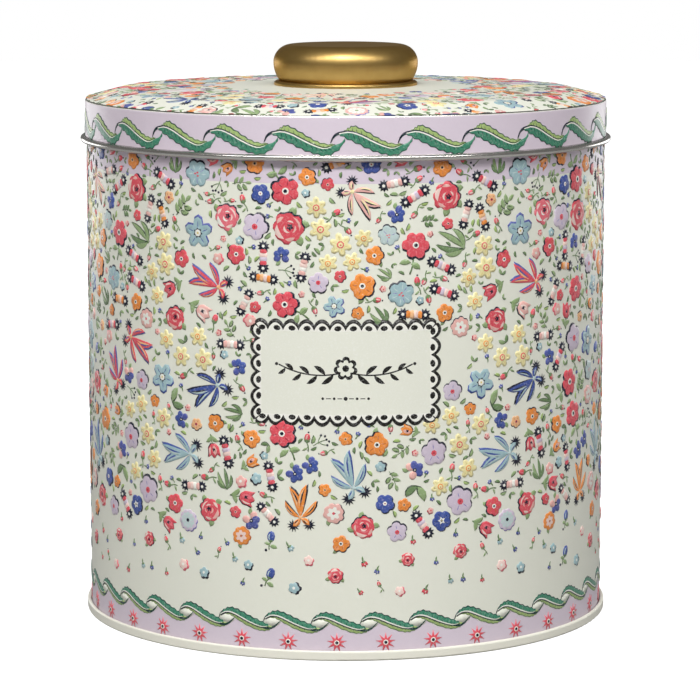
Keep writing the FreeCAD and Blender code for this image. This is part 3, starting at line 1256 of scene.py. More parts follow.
    def tulip(self, outer: Ink, inner: Ink, light: Ink, size: float) -> Motif:
        """Tulip seen from the side, with a stalk and two leaves.

        Args:
            outer: Ink of the outer petals.
            inner: Ink of the inner ones.
            light: Ink of the lightest parts.
            size: Its scale.

        Returns:
            The motif.
        """
        layers = [
            Layer(stem((0.1, -1.5), (0.7, -5.2), 0.42, 0.3), Ink.MOSS, -0.15),
            Layer(blade((0.5, -4.9), (-2.3, -2.4), 1.6, -0.6), Ink.SAGE, -0.14, 0.5),
            Layer(blade((0.5, -4.6), (2.9, -2.6), 1.5, 0.5), Ink.SAGE, -0.14, 0.5),
        ]
        right = [(-0.9, -1.7), (0.9, -1.8), (2.1, -0.4), (2.2, 1.2), (2.6, 2.9), (1.3, 2.0), (0.2, 3.3)]
        cup = [*right, (-1.1, 2.0), (-2.3, 3.0), (-2.1, 1.0), (-1.9, -0.5)]
        layers += [
            Layer([(x + 0.36, y - 0.2) for x, y in cup], Ink.NAVY),
            Layer(cup, outer, 0.02, 0.78),
            Layer(blade((-0.2, -1.2), (-0.3, 2.3), 1.7, 0.1), inner, 0.08),
            Layer(blade((1.1, -0.9), (1.6, 2.0), 0.6, -0.3), light, 0.05),
            Layer([(-0.5, -0.1), (0.45, -0.2), (0.3, 1.1), (-0.25, 0.5), (-0.7, 1.2)], Ink.NAVY, -0.02),
        ]
        return scaled(Motif(Family.TULIPS, layers), size)

    def cracker(self, body: Sequence[Ink], size: float = 1.0) -> Motif:
        """Ribbon-wrapped sweet: bands of colour between two frilled dark ends.

        Args:
            body: Inks of the bands, from end to end.
            size: Its scale.

        Returns:
            The motif.
        """
        layers = []
        for side in (-1, 1):
            layers += [
                Layer(spikes(1.85, 1.2, 10, (2.95 * side, 0.0), 8), Ink.NAVY, -0.06),
                Layer(disc(0.5, 5, (3.15 * side, 0.0)), Ink.WHITE, -0.02),
            ]
        span = 4.4 / len(body)
        for i, ink in enumerate(body):
            low = -2.2 + i * span
            half, middle = (0.8, 1.1) if i in (0, len(body) - 1) else (1.0, 1.2)
            under = [(low, -half), (low + span / 2, -middle), (low + span, -half)]
            shape = [*under, *((x, -y) for x, y in reversed(under))]
            layers.append(Layer(shape, ink, 0.03, 0.5))
        return scaled(Motif(Family.CRACKERS, layers), size)

    def bow(self, ribbon_ink: Ink, light: Ink, fold: Ink, size: float) -> Motif:
        """Ribbon bow with fringed loop ends and long forked tails.

        Args:
            ribbon_ink: Ink of the ribbon.
            light: Ink of the lightest parts.
            fold: Ink of its shaded folds.
            size: Its scale.

        Returns:
            The motif.
        """
        layers = []
        for angle in (128, 222):
            layers.append(Layer(spikes(1.75, 0.85, 11, polar(2.9, angle), angle), Ink.NAVY, -0.04))
        tails = ((34, 6.0, 1.35, 0.7), (-52, 6.4, 1.35, -0.5), (10, 8.8, 1.8, -0.7), (-20, 9.2, 1.9, 0.6))
        for angle, reach, width, bend in tails:
            shade = blade(polar(0.2, angle), polar(reach + 0.2, angle - 3), width + 0.2, bend, 4, 0.6)
            layers += [
                Layer(shade, fold, -0.05),
                Layer(blade(polar(0.2, angle), polar(reach, angle), width, bend, 4, 0.6), ribbon_ink, -0.02, 0.7),
            ]
            for share, ink, wide in ((0.5, light, 0.3), (-0.1, fold, 0.24)):
                ends = spine((0.0, 0.0), polar(reach, angle), bend + width * share * 0.5, (0.3, 0.88))
                layers.append(Layer(blade(ends[0][0], ends[1][0], width * wide, bend * 0.5, 2), ink, 0.02))
        for angle in (128, 222):
            layers += [
                Layer(blade(polar(0.2, angle), polar(3.0, angle), 1.5, 0.2, 3, 0.6), ribbon_ink, 0.02, 0.7),
                Layer(blade(polar(0.7, angle + 8), polar(2.6, angle + 5), 0.4, 0.1, 2), light, 0.04),
                Layer(blade(polar(0.7, angle - 10), polar(2.4, angle - 7), 0.34, 0.1, 2), fold, 0.03),
            ]
        layers.append(Layer(disc(0.62, 6), light, 0.08))
        return scaled(Motif(Family.BOWS, layers), size)

    def rosebud(self, petal: Ink, light: Ink, size: float) -> Motif:
        """Closed bud in its sepals, on a curved stalk.

        Args:
            petal: Ink of the petals.
            light: Ink of the lightest parts.
            size: Its scale.

        Returns:
            The motif.
        """
        sepals = [(-0.9, 0.4), (-0.75, -0.6), (0.0, -1.1), (0.75, -0.6)]
        layers = [
            Layer(stem((0.0, -1.0), (0.5, -3.3), 0.3, 0.25), Ink.MOSS, -0.15),
            Layer(blade((0.3, -2.2), (-1.2, -3.2), 0.6, 0.1), Ink.SAGE, -0.12),
            Layer(disc(1.15, 8, (0.0, 0.5), 0.72, 90), petal, 0.0, 0.6),
            Layer(blade((-0.15, -0.3), (0.2, 1.4), 0.55, 0.2, 2), light, 0.06),
            Layer([*sepals, (0.95, 0.5), (0.3, -0.2), (0.0, 0.3), (-0.35, -0.2)], Ink.MOSS, 0.02),
            Layer(disc(0.3, 5, (0.25, 2.0), 0.8), Ink.NAVY),
        ]
        return scaled(Motif(Family.BUDS, layers, rise=0.17), size)

    def drop_bud(self, petal: Ink, size: float) -> Motif:
        """Plump oval bud with a pair of leaves and a berry.

        Args:
            petal: Ink of the petals.
            size: Its scale.

        Returns:
            The motif.
        """
        layers = [
            Layer(stem((0.0, -1.2), (-0.8, -3.6), 0.3, -0.3), Ink.MOSS, -0.15),
            Layer(blade((-0.5, -2.6), (1.7, -3.3), 1.3, 0.25), Ink.SAGE, -0.12, 0.5),
            Layer(blade((-0.4, -2.2), (-2.2, -1.6), 1.0, -0.25), Ink.SAGE, -0.12, 0.5),
            Layer(disc(1.7, 9, (0.1, 0.3), 0.72, 80), petal, 0.02, 0.6),
            Layer(blade((-0.3, -0.8), (0.0, 1.4), 0.36, 0.4, 2), Ink.PALE_SKY, 0.05),
            Layer(blade((-0.9, -0.7), (0.9, -0.9), 0.7, -0.2, 2), Ink.MOSS, 0.03),
            Layer(disc(0.42, 6, (-1.8, -3.7)), Ink.NAVY),
        ]
        return scaled(Motif(Family.BUDS, layers, rise=0.19), size)

    def sprig(self, count: int, leaf: Ink, size: float, dark: bool) -> Motif:
        """Leafy twig: paired leaves along a stalk.

        Args:
            count: Number of leaves.
            leaf: Ink of the leaves.
            size: Its scale.
            dark: Whether some leaves have a dark rib.

        Returns:
            The motif.
        """
        layers = [Layer(stem((0.0, -3.0), (0.0, 2.6), 0.26, 0.3, 3), Ink.MOSS, -0.14)]
        for i in range(count):
            side = 1 if i % 2 else -1
            base = (0.1, -1.9 + 3.9 * i / count)
            tip = (base[0] + side * 2.3, base[1] + 1.4)
            dark_base, dark_tip = (base[0] + 0.24, base[1] - 0.26), (tip[0] + 0.2, tip[1] - 0.26)
            layers += [
                Layer(blade(dark_base, dark_tip, 1.2, -0.22 * side), Ink.PINE),
                Layer(blade(base, tip, 1.3, -0.22 * side), leaf, -0.04, 0.5),
            ]
            if dark and i % 2:
                layers.append(Layer(blade(base, (base[0] + side * 1.5, base[1] + 0.95), 0.24, 0.0, 1), Ink.NAVY))
        layers.append(Layer(blade((0.0, 1.8), (0.2, 4.1), 1.2, 0.15), leaf, -0.04, 0.5))
        return scaled(Motif(Family.FOLIAGE, layers, rise=0.17), size)

    def blades(self, leaf: Ink, under: Ink, size: float) -> Motif:
        """Clump of long arching leaves.

        Args:
            leaf: Ink of the leaves.
            under: Ink of the leaf behind.
            size: Its scale.

        Returns:
            The motif.
        """
        layers = []
        for start, end, bend, ink in (
            ((0.2, -3.6), (-1.9, 3.4), 0.7, under),
            ((0.3, -3.7), (0.9, 4.3), -0.4, leaf),
            ((0.4, -3.4), (3.0, 1.4), -0.8, leaf),
            ((0.1, -3.2), (-2.8, 0.4), 0.6, leaf),
        ):
            layers += [
                Layer(blade((start[0] + 0.3, start[1]), (end[0] + 0.26, end[1] - 0.2), 1.15, bend, 4), Ink.PINE),
                Layer(blade(start, end, 1.3, bend, 4), ink, -0.04, 0.4),
            ]
        return scaled(Motif(Family.FOLIAGE, layers, rise=0.17), size)

    def berries(self, berry: Ink, size: float) -> Motif:
        """Forked twig with a berry at each tip.

        Args:
            berry: Ink of the berries.
            size: Its scale.

        Returns:
            The motif.
        """
        layers = []
        twigs = (((0.0, -2.8), (0.2, 2.2), 0.3), ((0.1, -0.8), (-1.9, 1.3), 0.2), ((0.1, -0.2), (1.9, 1.5), -0.2))
        for start, end, bend in twigs:
            layers.append(Layer(stem(start, end, 0.26, bend), Ink.MOSS, -0.12))
        for centre in ((0.2, 2.5), (-2.1, 1.5), (2.1, 1.8), (-1.1, 2.6), (1.2, 3.0)):
            layers.append(Layer(disc(0.44, 6, centre), berry, 0.0))
        return scaled(Motif(Family.FOLIAGE, layers, rise=0.15), size)

    def leaf_pair(self, leaf: Ink, size: float) -> Motif:
        """Two small leaves that fill a gap.

        Args:
            leaf: Ink of the leaves.
            size: Its scale.

        Returns:
            The motif.
        """
        layers = [
            Layer(blade((0.3, -1.1), (-1.3, 1.0), 1.2, 0.25), Ink.PINE),
            Layer(blade((0.2, -1.1), (1.7, 0.8), 1.0, -0.25), Ink.PINE),
            Layer(blade((0.0, -0.9), (-1.6, 1.2), 1.25, 0.25), leaf, 0.0, 0.5),
            Layer(blade((0.0, -0.9), (1.5, 1.0), 1.1, -0.25), Ink.MOSS, 0.0, 0.5),
        ]
        return scaled(Motif(Family.FOLIAGE, layers, rise=0.15), size)

    def leaflet(self, leaf: Ink, size: float) -> Motif:
        """One small leaf with a dark side.

        Args:
            leaf: Ink of the leaves.
            size: Its scale.

        Returns:
            The motif.
        """
        layers = [
            Layer(blade((0.24, -1.3), (0.34, 1.1), 0.95, 0.3, 2), Ink.PINE),
            Layer(blade((0.0, -1.2), (0.1, 1.3), 1.0, 0.3, 2), leaf, 0.0, 0.5),
        ]
        return scaled(Motif(Family.FOLIAGE, layers, rise=0.12), size)

    def bell_bud(self, petal: Ink, size: float) -> Motif:
        """Tiny hanging bud under a green cap.

        Args:
            petal: Ink of the petals.
            size: Its scale.

        Returns:
            The motif.
        """
        skirt = [(-0.9, 0.1), (-0.95, -0.9), (-0.35, -0.75), (0.0, -1.35), (0.4, -0.75)]
        layers = [
            Layer(blade((-0.15, 0.3), (0.25, 2.1), 0.55, 0.1, 2), Ink.MOSS, -0.08),
            Layer([*skirt, (0.95, -0.85), (0.85, 0.15), (0.0, 0.5)], petal, 0.0, 0.5),
            Layer(blade((-0.7, 0.2), (0.7, 0.3), 0.7, 0.15, 2), Ink.MOSS, 0.02),
            Layer(disc(0.24, 4, (-0.5, 0.35)), Ink.NAVY),
            Layer(disc(0.22, 4, (0.1, -0.35)), Ink.WHITE),
        ]
        return scaled(Motif(Family.FLORETS, layers, rise=0.15), size)

    def pages(self) -> dict[str, list[Motif]]:
        """Every motif of the print.

        Returns:
            Motifs by the part they play in the layout.
        """
        coral = (Ink.CORAL, Ink.PINK, Ink.BLUSH)
        pink = (Ink.ROSE, Ink.BLUSH, Ink.WHITE)
        made = {
            "bow": [
                self.bow(Ink.ORANGE, Ink.APRICOT, Ink.NAVY, 1.05),
                self.bow(Ink.ROYAL, Ink.PALE_SKY, Ink.NAVY, 1.15),
                self.bow(Ink.SKY, Ink.PALE_SKY, Ink.ROYAL, 1.15),
                self.bow(Ink.CORAL, Ink.APRICOT, Ink.INDIGO, 1.1),
                self.bow(Ink.LILAC, Ink.YELLOW, Ink.INDIGO, 1.12),
                self.bow(Ink.PINK, Ink.YELLOW, Ink.NAVY, 1.05),
            ],
            "large": [
                self.anemone(Ink.CORAL, Ink.CRIMSON, 0.95, True),
                self.anemone(Ink.CORAL, Ink.ROSE, 0.9, True),
                self.rose(*coral, 1.08, (200, 260, 320)),
                self.rose(Ink.CORAL, Ink.BLUSH, Ink.PINK, 0.92, (40, 170, 250)),
                self.rose(*pink, 1.0, (20, 160)),
                self.star_flower(Ink.SKY, Ink.INDIGO),
                self.cornflower(Ink.SKY, Ink.CORAL, 1.0),
                self.bluebell(Ink.ROYAL, 0.8),
                self.viola(Ink.LILAC, Ink.CORAL, Ink.NAVY, 1.04),
                self.primrose(Ink.ORANGE, Ink.WHITE, 5, 1.2),
                self.ruffle(Ink.ORANGE, Ink.BLUSH, Ink.RUST, 1.15),
                self.star_flower(Ink.SKY, Ink.ROYAL, 0.95),
                self.tulip(Ink.CORAL, Ink.ROSE, Ink.BLUSH, 1.05),
            ],
            "medium": [
                self.rose(*coral, 0.8, (210, 300, 30)),
                self.rose(*pink, 0.76, (190, 250)),
                self.ruffle(Ink.ORANGE, Ink.LILAC, Ink.NAVY, 0.98),
                self.ruffle(Ink.ORANGE, Ink.BLUSH, Ink.RUST, 0.84),
                self.ruffle(Ink.PINK, Ink.WHITE, Ink.CORAL, 0.9),
                self.star_flower(Ink.SKY, Ink.NAVY, 0.84),
                self.primrose(Ink.ORANGE, Ink.APRICOT, 5, 0.98),
                self.primrose(Ink.ORANGE, Ink.WHITE, 5, 0.86),
                self.primrose(Ink.CORAL, Ink.WHITE, 5, 0.9),
                self.tulip(Ink.CORAL, Ink.ROSE, Ink.BLUSH, 0.85),
                self.anemone(Ink.CORAL, Ink.ROSE, 0.78),
                self.star_flower(Ink.SKY, Ink.INDIGO, 0.72),
                self.viola(Ink.LILAC, Ink.CORAL, Ink.NAVY, 0.74),
                self.pansy(Ink.INDIGO, Ink.PINK, 0.86),
                self.pansy(Ink.ROYAL, Ink.INDIGO, 0.8),
                self.viola(Ink.ROYAL, Ink.WHITE, Ink.NAVY, 0.72),
                self.drop_bud(Ink.ROYAL, 1.3),
                self.scabious(Ink.PINK, Ink.WHITE, Ink.SAGE, 0.9),
                self.scabious(Ink.LILAC, Ink.PALE_SKY, Ink.NAVY, 0.84),
                self.tulip(Ink.PINK, Ink.BLUSH, Ink.WHITE, 0.95),
                self.tulip(Ink.CORAL, Ink.PINK, Ink.BLUSH, 0.76),
                self.tulip(Ink.ORANGE, Ink.PINK, Ink.APRICOT, 0.68),
                self.cornflower(Ink.PALE_SKY, Ink.ROSE, 0.8),
            ],
            "daffodil": [
                self.daffodil(Ink.YELLOW, Ink.CORAL, 0.95),
                self.daffodil(Ink.YELLOW, Ink.ORANGE, 0.82),
            ],
            "cracker": [
                self.cracker((Ink.CORAL, Ink.BLUSH, Ink.LILAC, Ink.CORAL)),
                self.cracker((Ink.PINK, Ink.BLUSH, Ink.WHITE, Ink.PINK), 0.94),
                self.cracker((Ink.ORANGE, Ink.BLUSH, Ink.APRICOT, Ink.ORANGE), 0.96),
            ],
            "small": [
                self.forget_me_not(Ink.SKY, Ink.WHITE, Ink.NAVY, 1.0),
                self.forget_me_not(Ink.SKY, Ink.PALE_SKY, Ink.NAVY, 0.82),
                self.forget_me_not(Ink.PINK, Ink.WHITE, Ink.ROSE, 0.85),
                self.primrose(Ink.ORANGE, Ink.APRICOT, 5, 0.62, False),
                self.forget_me_not(Ink.SKY, Ink.YELLOW, Ink.NAVY, 1.12),
                self.drop_bud(Ink.ROYAL, 1.02),
                self.drop_bud(Ink.INDIGO, 0.8),
                self.pansy(Ink.ROYAL, Ink.INDIGO, 0.6),
                self.rosebud(Ink.CORAL, Ink.ROSE, 1.02),
                self.rosebud(Ink.CORAL, Ink.PINK, 0.94),
                self.rosebud(Ink.ROSE, Ink.BLUSH, 0.86),
                self.primrose(Ink.CORAL, Ink.PINK, 5, 0.6, False),
                self.primrose(Ink.APRICOT, Ink.CORAL, 5, 0.58, False),
            ],
            "leafy": [
                self.sprig(4, Ink.SAGE, 0.82, True),
                self.sprig(5, Ink.MOSS, 0.74, False),
                self.blades(Ink.SAGE, Ink.MOSS, 1.2),
                self.leaf_pair(Ink.SAGE, 1.7),
                self.sprig(5, Ink.SAGE, 1.05, True),
                self.blades(Ink.SAGE, Ink.MOSS, 0.95),
                self.blades(Ink.MOSS, Ink.SAGE, 0.75),
                self.blades(Ink.SAGE, Ink.MOSS, 0.6),
                self.berries(Ink.NAVY, 0.8),
            ],
            "filler": [
                self.leaf_pair(Ink.SAGE, 0.9),
                self.leaf_pair(Ink.SAGE, 0.68),
                self.sprig(3, Ink.SAGE, 0.55, False),
                self.forget_me_not(Ink.SKY, Ink.WHITE, Ink.NAVY, 0.62),
                self.rosebud(Ink.CORAL, Ink.PINK, 0.72),
                self.bell_bud(Ink.INDIGO, 0.72),
            ],
            "speck": [
                self.leaflet(Ink.SAGE, 0.95),
                self.leaflet(Ink.MOSS, 0.75),
                self.leaflet(Ink.LEAF, 0.85),
                self.leaf_pair(Ink.SAGE, 0.5),
                self.forget_me_not(Ink.SKY, Ink.WHITE, Ink.NAVY, 0.46),
                self.forget_me_not(Ink.PINK, Ink.CORAL, Ink.CRIMSON, 0.46),
            ],
            "fallen": [
                self.bell_bud(Ink.CORAL, 0.82),
                self.bell_bud(Ink.INDIGO, 0.8),
                self.bell_bud(Ink.SKY, 0.9),
                self.forget_me_not(Ink.BLUSH, Ink.WHITE, Ink.ROSE, 0.78),
                self.forget_me_not(Ink.SKY, Ink.WHITE, Ink.NAVY, 0.8),
                self.rose(*coral, 0.55, (200, 320)),
                self.primrose(Ink.ORANGE, Ink.APRICOT, 5, 0.75),
                self.drop_bud(Ink.ROYAL, 0.85),
                self.rosebud(Ink.CORAL, Ink.PINK, 0.72),
            ],
        }
        for key, page in made.items():
            for number, motif in enumerate(page):
                motif.name = f"{key}_{number}"
                if key != "fallen":
                    scaled(motif, self.grown)
        return made


def scaled(motif: Motif, size: float) -> Motif:
    """The motif with its outlines scaled, its relief unchanged."""
    motif.layers = [replace(part, outline=[(x * size, y * size) for x, y in part.outline]) for part in motif.layers]
    return motif


# ---- Layout of the print ------------------------------------------------------------------------


@dataclass(frozen=True)
class Spot:
    """Where one motif is printed, in millimetres and degrees."""

    motif: str
    x: float
    y: float
    turn: float
    size: float
    shade: float


@dataclass(frozen=True)
class Scatter:
    """One pass of the layout: which motifs, how many tries, how far apart and how dense."""

    page: str
    tries: int
    gap: float
    most: int
    density: Callable[[float, float], float]
    upright: float = 180.0
    sizes: tuple[float, float] = (0.94, 1.06)


class Ground:
    """A field of fine cells that remembers what is already printed on it."""

    def __init__(self, low: Point, high: Point, wraps: bool, seed: int, pitch: float = 0.3) -> None:
        """Makes an empty field.

        Args:
            low: Lowest corner.
            high: Highest corner.
            wraps: True if the left edge meets the right edge.
            seed: Seed of the layout.
            pitch: Size of a cell.
        """
        self.low, self.high, self.wraps, self.pitch = low, high, wraps, pitch
        self.columns = max(1, round((high[0] - low[0]) / pitch))
        self.rows = max(1, round((high[1] - low[1]) / pitch))
        self.step = ((high[0] - low[0]) / self.columns, (high[1] - low[1]) / self.rows)
        self.full = np.zeros((self.columns, self.rows), bool)
        self.random = random.Random(seed)

    def cells(self, points: np.ndarray) -> tuple[np.ndarray, np.ndarray, bool]:
        """Cells under some points, and whether all of them are on the field.

        Args:
            points: The points.

        Returns:
            Column and row of each point, and whether all are on the field.
        """
        i = np.floor((points[:, 0] - self.low[0]) / self.step[0]).astype(int)
        j = np.floor((points[:, 1] - self.low[1]) / self.step[1]).astype(int)
        inside = bool((j >= 0).all() and (j < self.rows).all())
        if self.wraps:
            i %= self.columns
        else:
            inside = inside and bool((i >= 0).all() and (i < self.columns).all())
        return i, j, inside

    def block(self, outline_cells: np.ndarray) -> None:
        """Marks points as already covered.

        Args:
            outline_cells: The points, in millimetres.
        """
        i, j, _ = self.cells(outline_cells)
        keep = (i >= 0) & (i < self.columns) & (j >= 0) & (j < self.rows)
        self.full[i[keep], j[keep]] = True

    def scatter(self, motifs: Sequence[Motif], rule: Scatter, around: Sequence[Point], spread: float) -> list[Spot]:
        """Throws motifs at the field and keeps each that lands clear.

        Args:
            motifs: Motifs to choose from.
            rule: How many, how dense and how far apart.
            around: Middles that the motifs gather round, or none for the whole field.
            spread: How far they stray from those middles.

        Returns:
            The spots that were kept.
        """
        rnd, made, last = self.random, [], ""
        for _ in range(rule.tries):
            if len(made) >= rule.most:
                break
            if around:
                middle = rnd.choice(around)
                x, y = rnd.gauss(middle[0], spread), rnd.gauss(middle[1], spread)
            else:
                x, y = rnd.uniform(self.low[0], self.high[0]), rnd.uniform(self.low[1], self.high[1])
            if rnd.random() > rule.density(x, y):
                continue
            motif = rnd.choice(motifs)
            if motif.name == last and len(motifs) > 2:
                continue
            turn = rnd.uniform(-rule.upright, rule.upright)
            size = rnd.uniform(*rule.sizes)
            c, s = math.cos(math.radians(turn)) * size, math.sin(math.radians(turn)) * size
            reach = float(np.linalg.norm(motif.cells, axis=1).max())
            grown = motif.cells * (1 + rule.gap / reach)
            points = np.stack([x + grown[:, 0] * c - grown[:, 1] * s, y + grown[:, 0] * s + grown[:, 1] * c], 1)
            i, j, inside = self.cells(points)
            if not inside or self.full[i, j].any():
                continue
            self.full[i, j] = True
            last = motif.name
            made.append(Spot(motif.name, x, y, turn, size, rnd.random()))
        return made


# ---- Bending the print onto the sheet -----------------------------------------------------------


@dataclass
class Surface:
    """A sheet that print is bent onto. Relief scales how far the print stands proud."""

    relief: float = 1.0

    def bend(self, tree: Tree, x: Socket, y: Socket, z: Socket) -> Socket:
        """Adds the nodes that carry a flat point to the sheet."""
        raise NotImplementedError

    def raised(self, tree: Tree, z: Socket) -> Socket:
        """Scales the relief, and leaves the tucked edge as deep as it was.

        Args:
            tree: Geometry tree.
            z: Height above the flat sheet.

        Returns:
            Height above the bent sheet.
        """
        proud = add(tree, SUM, (add(tree, SUM, (z, 0.0), operation="MAXIMUM"), self.relief), operation="MULTIPLY")
        return add(tree, SUM, (proud, add(tree, SUM, (z, 0.0), operation="MINIMUM")), operation="ADD")


@dataclass
class RoundWall(Surface):
    """A cylinder about the tin's axis, unrolled with its middle line at the front."""

    radius: float = 79.8 * MM
    top: float = 1.0

    def bend(self, tree: Tree, x: Socket, y: Socket, z: Socket) -> Socket:
        """Rolls a flat point round the axis.

        Args:
            tree: Geometry tree.
            x: Distance round the wall from the front.
            y: Height on the wall.
            z: Height above the flat sheet.

        Returns:
            The point on the wall.
        """
        reach = add(tree, SUM, (self.raised(tree, z), self.radius), operation="ADD")
        angle = add(tree, SUM, (x, self.radius), operation="DIVIDE")
        across, depth = (
            add(tree, SUM, (reach, add(tree, SUM, (angle,), operation=ratio)), operation="MULTIPLY")
            for ratio in ("SINE", "COSINE")
        )
        back = add(tree, SUM, (depth, -1.0), operation="MULTIPLY")
        height = add(tree, SUM, (y, self.top), operation="MINIMUM")
        return add(tree, "ShaderNodeCombineXYZ", (across, back, height))


@dataclass
class LidTop(Surface):
    """The domed top of the lid, seen in plan."""

    profile: DomeProfile = DomeProfile()
    relief: float = 0.6
    edge: float = 80.05 * MM

    def bend(self, tree: Tree, x: Socket, y: Socket, z: Socket) -> Socket:
        """Lifts a flat point to the dome above it, and draws in what runs past the edge.

        Args:
            tree: Geometry tree.
            x: Distance to the right of the axis.
            y: Distance behind the axis.
            z: Height above the flat sheet.

        Returns:
            The point on the lid.
        """
        squares = [add(tree, SUM, (axis, axis), operation="MULTIPLY") for axis in (x, y)]
        reach = add(tree, SUM, (add(tree, SUM, squares, operation="ADD"),), operation="SQRT")
        past = add(tree, SUM, (self.edge, reach), operation="DIVIDE")
        squeeze = add(tree, SUM, (1.0, past), operation="MINIMUM")
        x, y, radius = (add(tree, SUM, (value, squeeze), operation="MULTIPLY") for value in (x, y, reach))
        height = add(tree, SUM, (self.profile.height(tree, radius), self.raised(tree, z)), operation="ADD")
        return add(tree, "ShaderNodeCombineXYZ", (x, y, height))


class Press:
    """Prints spots of motifs onto a surface with Geometry Nodes, one piece for each call."""

    def __init__(self, finish: bpy.types.Material) -> None:
        """Readies the press.

        Args:
            finish: Material of all printed relief.
        """
        self.finish = finish

    def tree(self, name: str, motifs: bpy.types.Collection, surface: Surface) -> Tree:
        """Builds the tree that stamps motifs on points and bends them.

        Args:
            name: Name of the tree.
            motifs: Collection with one object for each motif, in order of name.
            surface: Sheet that the print is bent onto.

        Returns:
            The tree, with the motif size as a named input.
        """
        tree = bpy.data.node_groups.new(name, "GeometryNodeTree")
        for label, way, form in (
            ("Geometry", "INPUT", "NodeSocketGeometry"),
            ("Motif size", "INPUT", "NodeSocketFloat"),
            ("Geometry", "OUTPUT", "NodeSocketGeometry"),
        ):
            tree.interface.new_socket(label, in_out=way, socket_type=form)
        points, motif_size = add(tree, "NodeGroupInput", (), None).outputs[:2]
        taken = {0: motifs, "Separate Children": True, "Reset Children": True}
        kind, turn, size = (
            add(tree, "GeometryNodeInputNamedAttribute", (key,), data_type=form)
            for key, form in (("kind", "INT"), ("turn", "FLOAT"), ("size", "FLOAT"))
        )
        scale = add(tree, SUM, (size, motif_size), operation="MULTIPLY")
        stamp = {
            "Points": points,
            "Instance": add(tree, "GeometryNodeCollectionInfo", taken),
            "Pick Instance": True,
            "Instance Index": kind,
            "Rotation": add(tree, "ShaderNodeCombineXYZ", (0.0, 0.0, turn)),
            "Scale": add(tree, "ShaderNodeCombineXYZ", (scale, scale, 1.0)),
        }
        solid = add(tree, "GeometryNodeRealizeInstances", (add(tree, "GeometryNodeInstanceOnPoints", stamp),))
        place = add(tree, "ShaderNodeSeparateXYZ", (add(tree, "GeometryNodeInputPosition"),), None)
        bent = surface.bend(tree, *place.outputs)
        moved = add(tree, "GeometryNodeSetPosition", {"Geometry": solid, "Position": bent})
        inked = add(tree, "GeometryNodeSetMaterial", {"Geometry": moved, "Material": self.finish})
        add(tree, "NodeGroupOutput", (inked,), None)
        return tree

    def run(self, name: str, motifs: Sequence[Motif], spots: Sequence[Spot], surface: Surface) -> bpy.types.Object:
        """Prints one piece.

        Args:
            name: Name of the piece.
            motifs: Motifs that the spots name.
            spots: Where they go, in millimetres.
            surface: Sheet that they are bent onto.

        Returns:
            A plain mesh object at the origin.
        """
        shelf = bpy.data.collections.new(name + "_motifs")
        order = {motif.name: i for i, motif in enumerate(motifs)}
        for motif in motifs:
            mesh = bpy.data.meshes.get(motif.name) or motif.mesh()
            shelf.objects.link(bpy.data.objects.new(f"m{order[motif.name]:03d}_{motif.name}_{name}", mesh))
        points = bpy.data.meshes.new(name + "_points")
        points.from_pydata([(s.x * MM, s.y * MM, 0.0) for s in spots], [], [])
        columns = {
            "kind": ("INT", [order[s.motif] for s in spots]),
            "turn": ("FLOAT", [math.radians(s.turn) for s in spots]),
            "size": ("FLOAT", [s.size for s in spots]),
            "shade": ("FLOAT", [s.shade for s in spots]),
        }
        for key, (form, values) in columns.items():
            points.attributes.new(key, form, "POINT").data.foreach_set("value", values)
        source = bpy.data.objects.new(name + "_source", points)
        bpy.context.scene.collection.objects.link(source)
        tree = self.tree(name + "_press", shelf, surface)
        modifier = source.modifiers.new("press", "NODES")
        modifier.node_group = tree
        size_input = next(i for i in tree.interface.items_tree if i.name == "Motif size")
        modifier[size_input.identifier] = 1.0
        evaluated = source.evaluated_get(bpy.context.evaluated_depsgraph_get())
        mesh = bpy.data.meshes.new_from_object(evaluated)
        source.modifiers.clear()
        bpy.data.objects.remove(source)
        for item in list(shelf.objects):
            bpy.data.objects.remove(item)
        bpy.data.collections.remove(shelf)
        bpy.data.node_groups.remove(tree)
        return plain_object(name, mesh, self.finish)


def plain_object(name: str, mesh: bpy.types.Mesh, finish: bpy.types.Material) -> bpy.types.Object:
    """Links a finished mesh at the origin with its one material.

    Args:
        name: Name of the piece.
        mesh: Its mesh, in metres and in place.
        finish: Its material.

    Returns:
        The new object.
    """
    mesh.name = name
    mesh.materials.clear()
    mesh.materials.append(finish)
    made = bpy.data.objects.new(name, mesh)
    bpy.context.scene.collection.objects.link(made)
    return made


# ---- Sub-assemblies of the tin ------------------------------------------------------------------


class Body(Enum):
    """Moving bodies of the tin, each with the slot of its printed sheet."""

    TIN = ("tin", "printed_tinplate_body")
    LID = ("lid", "printed_tinplate_lid")


def ride(piece: bpy.types.Object, body: Body) -> None:
    """Lets a printed piece move with a body, and reports it.

    Args:
        piece: The finished piece.
        body: The body that it moves with.
    """
    moved_with, slot = body.value
    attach(piece, moved_with)
    log.info("%s rides on %s: %d faces", piece.name, moved_with, len(piece.data.polygons))


WALL_RADIUS = 79.8  # outer face of the wall, which all print on it lies on


